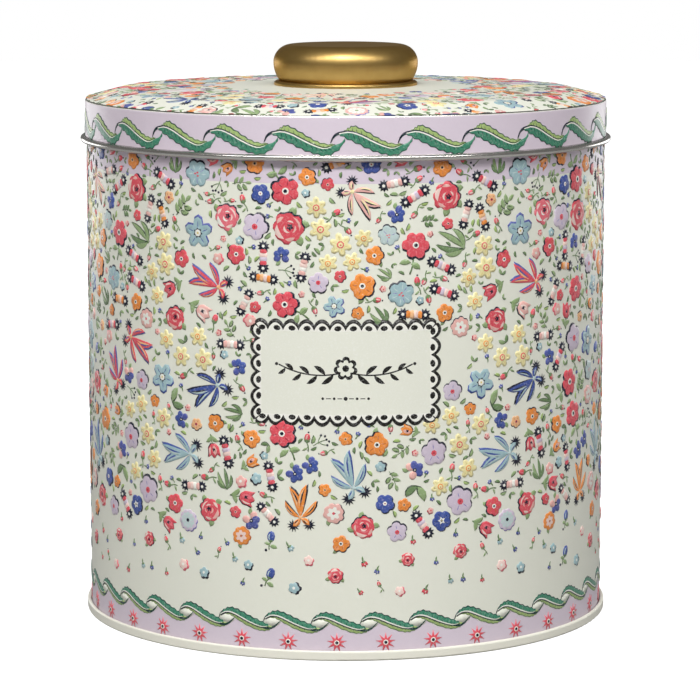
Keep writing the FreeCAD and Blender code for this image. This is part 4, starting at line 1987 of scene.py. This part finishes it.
@dataclass
class FloralPrint:
    """The scattered flowers of the wall and the lid."""

    press: Press
    wall_radius: float = WALL_RADIUS
    repeats: int = 5
    low_edge: float = 17.0
    wall_top: float = 145.7
    overhang: float = 3.5
    thick_from: float = 50.0
    thin_from: float = 34.0
    lid_inner: float = 33.0
    lid_outer: float = 80.0
    label_half: Point = (27.2, 14.8)
    label_z: float = 84.8
    start: float = 31.0
    margin: float = 1.0
    strays: tuple[float, float] = (6.5, 7.0)
    seed: int = 11
    pages: dict[str, list[Motif]] = field(default_factory=lambda: MotifBook().pages())

    @property
    def width(self) -> float:
        """Width of one repeat of the wall print."""
        return math.tau * self.wall_radius / self.repeats

    def motifs(self) -> dict[str, Motif]:
        """Every motif by name, each with its mesh made and its cells known.

        Returns:
            The motifs by name.
        """
        made = {motif.name: motif for page in self.pages.values() for motif in page}
        for motif in made.values():
            motif.mesh()
        return made

    def thick(self, x: float, z: float) -> float:
        """Share of large flowers kept at a height on the wall: all above, none near the foot."""
        share = (z - self.thin_from) / (self.thick_from - self.thin_from)
        return min(1.0, max(0.0, share)) ** 1.6

    def small(self, x: float, z: float) -> float:
        """Share of small pictures kept at a height on the wall."""
        foot = self.thin_from + 6
        return 1.0 if z > self.thick_from else max(0.0, (z - foot) / (self.thick_from - foot)) ** 1.2

    def fallen(self, x: float, z: float) -> float:
        """Share of stray buds kept: they thin out towards the foot."""
        return 1.0 if z > 30 else 0.5

    def on_wall(self) -> list[Spot]:
        """Lays out one repeat of the wall and copies it round the tin.

        Returns:
            Every spot of the wall, clear of the label.
        """
        ground = Ground((0.0, self.low_edge), (self.width, self.wall_top + self.overhang), True, self.seed)
        rnd = random.Random(self.seed + 1)
        clusters = [(rnd.uniform(0, self.width), z) for z in (62.0, 84.0, 106.0, 128.0)]
        passes = (
            (Scatter("bow", 2500, 0.0, 8, self.thick), ()),
            (Scatter("large", 4000, 0.0, 23, self.thick), ()),
            (Scatter("daffodil", 2500, 0.0, 20, self.thick), clusters),
            (Scatter("cracker", 3000, 0.0, 21, self.thick), ()),
            (Scatter("leafy", 3000, 0.0, 22, self.small), ()),
            (Scatter("medium", 24000, 0.0, 92, self.thick), ()),
            (Scatter("small", 26000, 0.0, 150, self.small), ()),
            (Scatter("filler", 30000, 0.0, 200, self.small), ()),
            (Scatter("speck", 40000, 0.0, 260, self.small), ()),
            (Scatter("fallen", 7000, 1.7, 64, self.fallen, 40.0, (0.95, 1.25)), ()),
        )
        spots: list[Spot] = []
        for rule, around in passes:
            spots += ground.scatter(self.pages[rule.page], rule, around, self.strays[0])
        girth = math.tau * self.wall_radius
        made = []
        for spot in spots:
            for turn in range(self.repeats):
                x = (spot.x + turn * self.width + self.start) % girth - girth / 2
                under = abs(x) < self.label_half[0] and abs(spot.y - self.label_z) < self.label_half[1]
                if under or spot.y > self.wall_top + self.margin:
                    continue
                made.append(Spot(spot.motif, x, spot.y, spot.turn, spot.size, spot.shade))
        return made

    def on_lid(self) -> list[Spot]:
        """Lays out the lid's top: sparse round the knob and full towards the rim.

        Returns:
            Every spot of the lid.
        """
        half = self.lid_outer + self.overhang
        ground = Ground((-half, -half), (half, half), False, self.seed + 5)
        xs = np.arange(-half, half, 0.3)
        grid = np.stack(np.meshgrid(xs, xs), -1).reshape(-1, 2)
        reach = np.linalg.norm(grid, axis=1)
        ground.block(grid[(reach > half) | (reach < self.lid_inner)])

        def full(x: float, y: float) -> float:
            """Share kept: rises from the bare middle to the full rim."""
            return min(1.0, max(0.0, (math.hypot(x, y) - self.lid_inner - 3) / 14)) ** 1.5

        def stray(x: float, y: float) -> float:
            """Share of stray buds kept near the middle."""
            return 1.0 if math.hypot(x, y) < 52 else 0.2

        rnd = random.Random(self.seed + 6)
        clusters = [polar(rnd.uniform(56, 72), 60 * i + rnd.uniform(-15, 15)) for i in range(6)]
        passes = (
            (Scatter("bow", 1500, 0.2, 9, full), ()),
            (Scatter("large", 3000, 0.1, 36, full), ()),
            (Scatter("daffodil", 2500, 0.0, 20, full), clusters),
            (Scatter("cracker", 2500, 0.1, 30, full), ()),
            (Scatter("leafy", 3000, 0.0, 34, full), ()),
            (Scatter("medium", 9000, 0.0, 105, full), ()),
            (Scatter("small", 18000, 0.0, 170, full), ()),
            (Scatter("filler", 26000, 0.0, 230, full), ()),
            (Scatter("speck", 30000, 0.0, 260, full), ()),
            (Scatter("fallen", 4000, 1.4, 70, stray), ()),
        )
        spots: list[Spot] = []
        for rule, around in passes:
            spots += ground.scatter(self.pages[rule.page], rule, around, self.strays[1])
        return [spot for spot in spots if math.hypot(spot.x, spot.y) < self.lid_outer + self.margin]

    def build(self) -> None:
        """Prints the wall and the lid, one piece for each family of motif."""
        motifs = self.motifs()
        wall = RoundWall(radius=self.wall_radius * MM, top=self.wall_top * MM)
        for spots, surface, body, suffix in (
            (self.on_wall(), wall, Body.TIN, "wall"),
            (self.on_lid(), LidTop(), Body.LID, "lid"),
        ):
            for family in Family:
                own = [m for m in motifs.values() if m.family is family]
                names = {m.name for m in own}
                some = [s for s in spots if s.motif in names]
                if some:
                    ride(self.press.run(f"print_{family.value}_{suffix}", own, some, surface), body)


def flow(guides: Sequence[Point], count: int, ripple: float = 0.0) -> Outline:
    """Smooth line through guide points.

    Args:
        guides: Points that the line passes through.
        count: Number of points made.
        ripple: How far every other point stands to the left of the line.

    Returns:
        Points along the line, the first and last on the end guides.
    """
    knots = np.array([guides[0], *guides, guides[-1]], float)
    spans = len(guides) - 1
    made: Outline = []
    for i in range(count):
        at = spans * i / (count - 1)
        k = min(int(at), spans - 1)
        t = at - k
        p0, p1, p2, p3 = knots[k : k + 4]
        first, second, third = p2 - p0, 2 * p0 - 5 * p1 + 4 * p2 - p3, 3 * p1 - p0 - 3 * p2 + p3
        point = 0.5 * (2 * p1 + first * t + second * t**2 + third * t**3)
        lead = 0.5 * (first + 2 * second * t + 3 * third * t**2)
        size = float(np.hypot(*lead)) or 1.0
        reach = ripple if i % 2 and 0 < i < count - 1 else 0.0
        made.append((float(point[0] - lead[1] / size * reach), float(point[1] + lead[0] / size * reach)))
    return made


def ribbon(line: Outline, widths: Sequence[float], shift: float = 0.0) -> Outline:
    """Outline of a line of changing width, moved to its left by the shift.

    Args:
        line: Points along the line.
        widths: Widths at even steps along it.
        shift: How far it is moved to its left.

    Returns:
        Points in order, the inside on their left.
    """
    left, right = [], []
    for i, (x, y) in enumerate(line):
        a, b = line[max(0, i - 1)], line[min(len(line) - 1, i + 1)]
        size = math.hypot(b[0] - a[0], b[1] - a[1]) or 1.0
        nx, ny = -(b[1] - a[1]) / size, (b[0] - a[0]) / size
        half = float(np.interp(i / (len(line) - 1), np.linspace(0, 1, len(widths)), widths)) / 2
        left.append((x + nx * (shift + half), y + ny * (shift + half)))
        right.append((x + nx * (shift - half), y + ny * (shift - half)))
    return [*right, *reversed(left)]


@dataclass(frozen=True)
class LeafSketch:
    """Guide points of one curled leaf, in millimetres from the foot of its tail."""

    tail: Outline
    upper: Outline
    rib: Outline
    lower: Outline
    tip: Outline
    upper_ink: Ink
    lower_ink: Ink
    upper_vein: Ink
    lower_vein: Ink
    hook: Outline
    hook_ink: Ink
    rib_side: int
    eye: Outline = field(default_factory=list)
    ripples: Point = (0.34, -0.46)
    tail_widths: tuple[float, float, float] = (0.12, 0.75, 0.95)

    def motif(self, name: str, pitch: float) -> Motif:
        """Draws the leaf.

        Args:
            name: Name of the motif.
            pitch: Length of one repeat, so that the motif can be centred on it.

        Returns:
            The leaf as a motif.
        """
        rib = flow(self.rib, 15)
        upper = flow(self.upper, 21, self.ripples[0])
        lower = flow(self.lower, 21, self.ripples[1])
        tip = flow(self.tip, 6)
        line = flow(self.tail, 8)
        layers = [
            Layer(ribbon(line, self.tail_widths), Ink.NAVY),
            Layer(ribbon(line, (0.0, 0.3, 0.5), -0.2), self.lower_vein),
            Layer([*lower, *reversed(tip[:-1]), *reversed(rib)], self.lower_ink),
            Layer([*rib, *reversed(upper)], self.upper_ink),
            Layer(ribbon(upper, (0.1, 0.32, 0.3, 0.12), -0.14), self.upper_vein),
            Layer(ribbon(lower, (0.1, 0.26, 0.26, 0.1), 0.12), self.lower_vein),
        ]
        tops, feet = flow(self.upper, 15), flow(self.lower, 17)
        for i in range(2, 13):
            reach = 0.85 - 0.02 * i
            x, y = rib[i]
            for (ex, ey), ink, width in ((tops[i + 1], self.upper_vein, 0.2), (feet[i + 1], self.lower_vein, 0.26)):
                end = (x + (ex - x) * reach, y + (ey - y) * reach)
                layers.append(Layer(blade((x, y), end, width, 0, 1), ink))
        layers.append(Layer(ribbon(flow(self.hook, 8), (0.3, 0.75, 0.6, 0.1)), self.hook_ink, 0.03))
        side = self.rib_side
        layers += [
            Layer(ribbon(rib, (0.4, 0.34, 0.28, 0.2), 0.24 * side), Ink.NAVY, 0.02),
            Layer(ribbon(rib[:-1], (0.2, 0.4, 0.34, 0.1), -0.1 * side), Ink.WHITE, 0.05),
        ]
        return Motif(Family.FOLIAGE, centred(layers, pitch / 2), name, rise=0.14, lip=0.06, soft=0.4)

    def eyelet(self, name: str, pitch: float) -> Motif:
        """Draws the patch of ground colour that shows through the curl of the tip."""
        patch = Layer(flow([*self.eye, self.eye[0]], 15)[:-1], Ink.CREAM)
        return Motif(Family.FOLIAGE, centred([patch], pitch / 2), name, rise=0.01, lip=0.025, soft=0.3)


def centred(layers: Sequence[Layer], shift: float) -> list[Layer]:
    """Layers moved to the left."""
    return [replace(part, outline=[(x - shift, y) for x, y in part.outline]) for part in layers]


LID_LEAF = LeafSketch(
    tail=[(0.0, 2.9), (0.8, 4.6), (2.2, 5.7), (4.6, 6.1)],
    upper=[(3.8, 6.2), (5.2, 7.2), (6.9, 7.8), (10.2, 6.3), (14.0, 4.1), (17.2, 2.8), (20.8, 2.5)],
    rib=[(2.4, 5.7), (5.4, 6.2), (8.6, 5.3), (12.0, 3.6), (15.4, 2.1), (18.0, 1.5), (20.8, 2.5)],
    lower=[(2.4, 5.7), (4.8, 4.4), (8.2, 2.8), (11.8, 1.1), (15.2, 0.0), (18.6, -0.4), (21.8, 1.3), (23.7, 4.5)],
    tip=[(20.8, 2.5), (22.5, 3.1), (23.7, 4.5)],
    upper_ink=Ink.LEAF,
    lower_ink=Ink.TEAL,
    upper_vein=Ink.DEEP_TEAL,
    lower_vein=Ink.DEEP_TEAL,
    hook=[(20.6, 1.2), (22.2, 2.0), (23.5, 4.2)],
    hook_ink=Ink.TEAL,
    rib_side=1,
)
WALL_LEAF = LeafSketch(
    tail=[(0.0, 2.6), (0.6, 4.0), (1.8, 5.0), (3.4, 5.3)],
    upper=[(0.6, 3.6), (1.9, 5.2), (4.2, 6.0), (7.2, 5.2), (10.6, 3.7), (13.9, 2.5), (16.0, 1.5)],
    rib=[(0.6, 3.6), (2.6, 4.6), (5.2, 4.3), (9.0, 2.6), (12.5, 1.3), (14.6, 1.0), (16.0, 1.5)],
    lower=[(0.6, 3.6), (3.0, 4.0), (4.8, 3.4), (8.5, 1.5), (12.0, 0.2), (14.2, -0.1), (16.2, 0.3), (17.4, 1.1)],
    tip=[(16.0, 1.5), (16.8, 1.4), (17.4, 1.1)],
    upper_ink=Ink.TEAL,
    lower_ink=Ink.LEAF,
    upper_vein=Ink.DEEP_TEAL,
    lower_vein=Ink.MOSS,
    hook=[(13.4, 1.3), (15.2, 0.7), (17.4, 1.1), (20.0, 3.5)],
    hook_ink=Ink.DEEP_TEAL,
    rib_side=-1,
    eye=[(0.0, 2.2), (1.6, 1.1), (3.8, 1.3), (5.6, 2.9), (4.4, 3.9), (2.6, 4.3), (0.8, 3.6)],
    ripples=(0.34, -0.2),
    tail_widths=(0.1, 0.4, 0.6),
)


@dataclass
class LeafBorder:
    """A band of curled two-tone leaves, each with its tail over the tip of the one before."""

    press: Press
    name: str
    sketch: LeafSketch
    radius: float
    count: int
    foot: float
    body: Body
    turn: float

    def build(self) -> None:
        """Prints the leaves all round, and the patches that show through their curls."""
        pitch = math.tau * self.radius / self.count
        motifs = [self.sketch.motif(self.name + "_leaf", pitch)]
        if self.sketch.eye:
            motifs.append(self.sketch.eyelet(self.name + "_eyelet", pitch))
        places = [-math.pi * self.radius + (i + 0.5 + self.turn) * pitch for i in range(self.count)]
        spots = [Spot(motif.name, x, self.foot, 0.0, 1.0, 0.5) for motif in motifs for x in places]
        ride(self.press.run(self.name, motifs, spots, RoundWall(radius=self.radius * MM)), self.body)


@dataclass
class StarBorder:
    """Row of nine-pointed stars along the foot of the wall."""

    press: Press
    radius: float = WALL_RADIUS
    count: int = 35
    height: float = 5.3
    size: float = 2.95
    turn: float = 0.82

    def build(self) -> None:
        """Prints the stars all round."""
        layers = [
            Layer(spikes(self.size, self.size * 0.42, 9, turn=90), Ink.ROSE, 0.0),
            Layer(spikes(self.size * 0.7, self.size * 0.36, 9, turn=90), Ink.CORAL, 0.0),
            Layer(disc(self.size * 0.27, 8), Ink.WHITE, 0.04),
            Layer(disc(self.size * 0.17, 7), Ink.NAVY, 0.05),
        ]
        star = Motif(Family.FLORETS, layers, "border_star", rise=0.16, soft=0.3)
        pitch = math.tau * self.radius / self.count
        places = [-math.pi * self.radius + (i + 0.5 + self.turn) * pitch for i in range(self.count)]
        spots = [Spot(star.name, x, self.height, 0.0, 1.0, 0.5) for x in places]
        ride(self.press.run("border_stars_wall", [star], spots, RoundWall(radius=self.radius * MM)), Body.TIN)


@dataclass
class LabelPlaque(Motif):
    """Scalloped label panel: its edge stands up as a bead and its field is flat."""

    bead: float = 0.42
    field_rise: float = 0.3

    def heights(
        self, plan: np.ndarray, cells: Sequence[Sequence[int]], owners: Sequence[int], rim: Sequence[tuple[int, int]]
    ) -> np.ndarray:
        """Heights of the points: a rounded bead along the edge, then the flat field.

        Args:
            plan: Points of the flat mesh.
            cells: Its triangles; not used.
            owners: Layer seen in each triangle; not used.
            rim: Edges of the silhouette.

        Returns:
            Height of each point above the sheet.
        """
        near = rim_distance(plan, rim)
        up = self.lip + (self.field_rise - self.lip) * (1 - np.exp(-near / 0.25))
        return up + (self.bead - self.field_rise) * np.exp(-(((near - 0.95) / 0.5) ** 2))


@dataclass
class Label:
    """The front panel with a plain leafy spray where a tin carries its title."""

    press: Press
    radius: float = WALL_RADIUS
    width: float = 56.4
    height: float = 31.3
    middle: float = 84.8
    across: int = 12
    up: int = 6
    bulge: float = 1.0
    points: int = 9

    def scallops(self, cusp: float, depth: float) -> Outline:
        """Outline of the panel with its scallops.

        Args:
            cusp: How far the points between scallops lie inside the panel's outermost ones.
            depth: How far each scallop stands out from those points.

        Returns:
            Points in order, the inside on their left.
        """
        half_w, half_h = self.width / 2 - self.bulge, self.height / 2 - self.bulge
        corners = ((-half_w, -half_h), (half_w, -half_h), (half_w, half_h), (-half_w, half_h))
        made: Outline = []
        for k, (count, start) in enumerate(zip((self.across, self.up) * 2, corners)):
            end = corners[(k + 1) % 4]
            length = math.hypot(end[0] - start[0], end[1] - start[1])
            dx, dy = (end[0] - start[0]) / length, (end[1] - start[1]) / length
            for i in range(count * self.points):
                t = (i % self.points) / self.points
                bow = depth * math.sin(math.pi * t) ** 0.75 - cusp if t else -cusp
                along = min(max(length * i / (count * self.points), -bow), length + bow)
                if i and along in (-bow, length + bow):
                    continue
                made.append((start[0] + dx * along + dy * bow, start[1] + dy * along - dx * bow))
        return made

    def dashes(self) -> list[Outline]:
        """A short dark dash in every scallop.

        Returns:
            Outline of each dash.
        """
        half_w, half_h = self.width / 2 - 2.65, self.height / 2 - 2.65
        pitch_x = (self.width - 2 * self.bulge - 1.2) / self.across
        pitch_y = (self.height - 2 * self.bulge - 1.2) / self.up
        rnd = random.Random(4)
        made = []
        for side in (-1, 1):
            for i in range(self.across):
                x = (i - (self.across - 1) / 2) * pitch_x
                made.append(disc(1.08, 8, (x, side * half_h), 0.72, rnd.uniform(-14, 14)))
            for i in range(self.up):
                y = (i - (self.up - 1) / 2) * pitch_y
                made.append(disc(1.08, 8, (side * half_w, y), 0.74, 90 + rnd.uniform(-14, 14)))
        return made

    def spray(self) -> list[Layer]:
        """Plain spray for the title's place: two leafy branches that meet under an open flower.

        Returns:
            Its layers, lowest first.
        """
        layers = []
        for side in (-1, 1):
            start, end, bend = (0.0, 0.4), (19.5 * side, 2.4), -1.9 * side
            layers.append(Layer(stem(start, end, 0.42, bend, 9), Ink.UMBER))
            for i in range(7):
                share = 0.17 + 0.12 * i
                (x, y), _ = spine(start, end, bend, (share,))[0]
                flip = 1 if i % 2 else -1
                length = 4.6 - 0.28 * i
                tip = (x + side * length * 0.78, y + flip * length * 0.62)
                layers.append(Layer(blade((x, y), tip, 1.45 - 0.06 * i, 0.35 * flip * side, 4), Ink.UMBER))
            layers.append(Layer(disc(0.5, 7, (end[0] + side * 0.6, end[1] + 0.1)), Ink.UMBER))
        layers += [
            Layer(petals(3.5, 7, 0.26, 5, 10, (0.0, 1.4)), Ink.UMBER),
            Layer(petals(2.5, 7, 0.3, 4, 10, (0.0, 1.4)), Ink.CREAM),
            Layer(disc(1.0, 8, (0.0, 1.4)), Ink.UMBER),
        ]
        for i in range(-2, 3):
            layers.append(Layer(disc(0.42 if i else 0.62, 7, (3.3 * i, -7.4)), Ink.UMBER))
            if i < 2:
                layers.append(Layer(stem((3.3 * i + 0.95, -7.4), (3.3 * i + 2.35, -7.4), 0.26), Ink.UMBER))
        return layers

    def build(self) -> None:
        """Prints the panel at the front of the wall."""
        layers = [
            Layer(self.scallops(0.6, 1.6), Ink.UMBER),
            # The white scalloped band along the raised bead is a painted highlight of the embossed ridge, laid down
            # as white ink.
            Layer(self.scallops(2.3, 2.2), Ink.WHITE),
            Layer(self.scallops(2.5, 0.0), Ink.CREAM),
        ]
        layers += [Layer(shape, Ink.UMBER) for shape in self.dashes()]
        layers += self.spray()
        grid = [(float(x), float(y)) for x in np.arange(-23.0, 23.1, 2.3) for y in np.arange(-11.0, 11.1, 2.2)]
        panel = LabelPlaque(Family.FOLIAGE, layers, "label_panel", inner=grid)
        spots = [Spot(panel.name, 0.0, self.middle, 0.0, 1.0, 0.5)]
        ride(self.press.run("label_plaque", [panel], spots, RoundWall(radius=self.radius * MM)), Body.TIN)


@dataclass(frozen=True)
class SheetMetal:
    """The CAD pieces that show as they are, by the finish of the real ones."""

    gold: GoldLacquer = GoldLacquer()
    zinc: TurnedMetal = TurnedMetal("zinc_plated_steel", "#C4C8CC", "#8E9296", (0.22, 0.36))
    brass: TurnedMetal = TurnedMetal("turned_brass", "#C9A257", "#9C7A3C")

    def dress(self) -> None:
        """Gives every CAD node its finish."""
        for finish, names in (
            (self.gold, ("knob_shell", "knob_foot")),
            (self.zinc, ("flat_washer", "spring_washer", "knob_screw")),
            (PrintedWall(), ("body_wall",)),
            (PrintedLid(), ("lid_shell",)),
            (CreamLacquer(), ("base_end",)),
            (self.brass, ("knob_bush",)),
        ):
            material = finish.material()
            for name in names:
                node = frame["nodes"][name]
                node.data.materials.clear()
                node.data.materials.append(material)
                log.info("%s keeps its CAD mesh, in %s", name, material.name)


@dataclass
class Studio:
    """Plain pale floor, plain soft light, and the camera."""

    camera_back: float = 1.01895
    camera_height: float = 0.2281
    tilt: float = 0.144
    lens: float = 169.5
    shift: Point = (0.0062, -0.0016)
    floor_radius: float = 3.0
    aim: tuple[float, float, float] = (0.0, 0.0, 0.09)
    fill: float = 0.18

    def camera(self) -> None:
        """Places the camera before the tin, a little above its lid."""
        data = bpy.data.cameras.new("studio_camera")
        data.lens, data.sensor_width = self.lens, 36.0
        data.shift_x, data.shift_y = self.shift
        data.clip_start, data.clip_end = 0.01, 50.0
        made = bpy.data.objects.new("studio_camera", data)
        made.location = (0.0, -self.camera_back, self.camera_height)
        made.rotation_euler = (math.pi / 2 - self.tilt, 0.0, 0.0)
        bpy.context.scene.collection.objects.link(made)
        bpy.context.scene.camera = made

    def floor(self) -> None:
        """Lays a wide round floor of pale paper."""
        rim = [(x, y, 0.0) for x, y in disc(self.floor_radius, 64)]
        mesh = bpy.data.meshes.new("studio_floor")
        mesh.from_pydata(rim, [], [tuple(range(len(rim)))])
        plain_object("studio_floor", mesh, StudioPaper().material())

    def light(self, name: str, place: tuple[float, float, float], size: Point, power: float) -> None:
        """Adds a soft area light that faces the tin.

        Args:
            name: Name of the light.
            place: Where it hangs, in metres.
            size: Its width and height.
            power: Its power in watts.
        """
        data = bpy.data.lights.new(name, "AREA")
        data.shape = "RECTANGLE"
        data.size, data.size_y = size
        data.energy = power
        made = bpy.data.objects.new(name, data)
        made.location = place
        made.visible_camera = False
        made.rotation_euler = (Vector(self.aim) - Vector(place)).to_track_quat("-Z", "Y").to_euler()
        bpy.context.scene.collection.objects.link(made)

    def surround(self) -> None:
        """Lights the room evenly, and shows plain white behind the tin."""
        world = bpy.data.worlds.new("studio_room")
        world.use_nodes = True
        tree = world.node_tree
        tree.nodes.clear()
        seen = add(tree, "ShaderNodeBackground", (WHITE_LIGHT, 1.0))
        lit = add(tree, "ShaderNodeBackground", ((1.0, 0.99, 0.975, 1.0), self.fill))
        to_camera = add(tree, "ShaderNodeLightPath", (), "Is Camera Ray")
        both = add(tree, "ShaderNodeMixShader", (to_camera, lit, seen))
        add(tree, "ShaderNodeOutputWorld", (both,), None)
        bpy.context.scene.world = world

    def build(self) -> None:
        """Sets up the whole studio."""
        self.camera()
        self.floor()
        self.surround()
        self.light("key_core", (-0.07, -0.76, 1.14), (0.45, 0.16), 7.6)
        self.light("key_wide", (0.0, -0.78, 1.13), (2.5, 0.14), 16.5)
        for name, side in (("back_left", -1), ("back_right", 1)):
            self.light(name, (0.62 * side, 0.78, 0.10), (0.55, 0.24), 1.15)
        bpy.context.scene.view_settings.view_transform = "Standard"
        log.info("studio ready")


def main() -> None:
    """Builds the tin's looks in order."""
    logging.basicConfig(level=logging.INFO, format="%(message)s")
    Studio().build()
    SheetMetal().dress()
    press = Press(VarnishedInk().material())
    FloralPrint(press).build()
    Label(press).build()
    for name, sketch, radius, count, foot, body, turn in (
        ("border_leaves_lid", LID_LEAF, 80.35, 26, 148.3, Body.LID, -0.225),
        ("border_leaves_wall", WALL_LEAF, WALL_RADIUS, 35, 8.2, Body.TIN, -0.21),
    ):
        LeafBorder(press, name, sketch, radius, count, foot, body, turn).build()
    StarBorder(press).build()


if __name__ == "__main__":
    main()
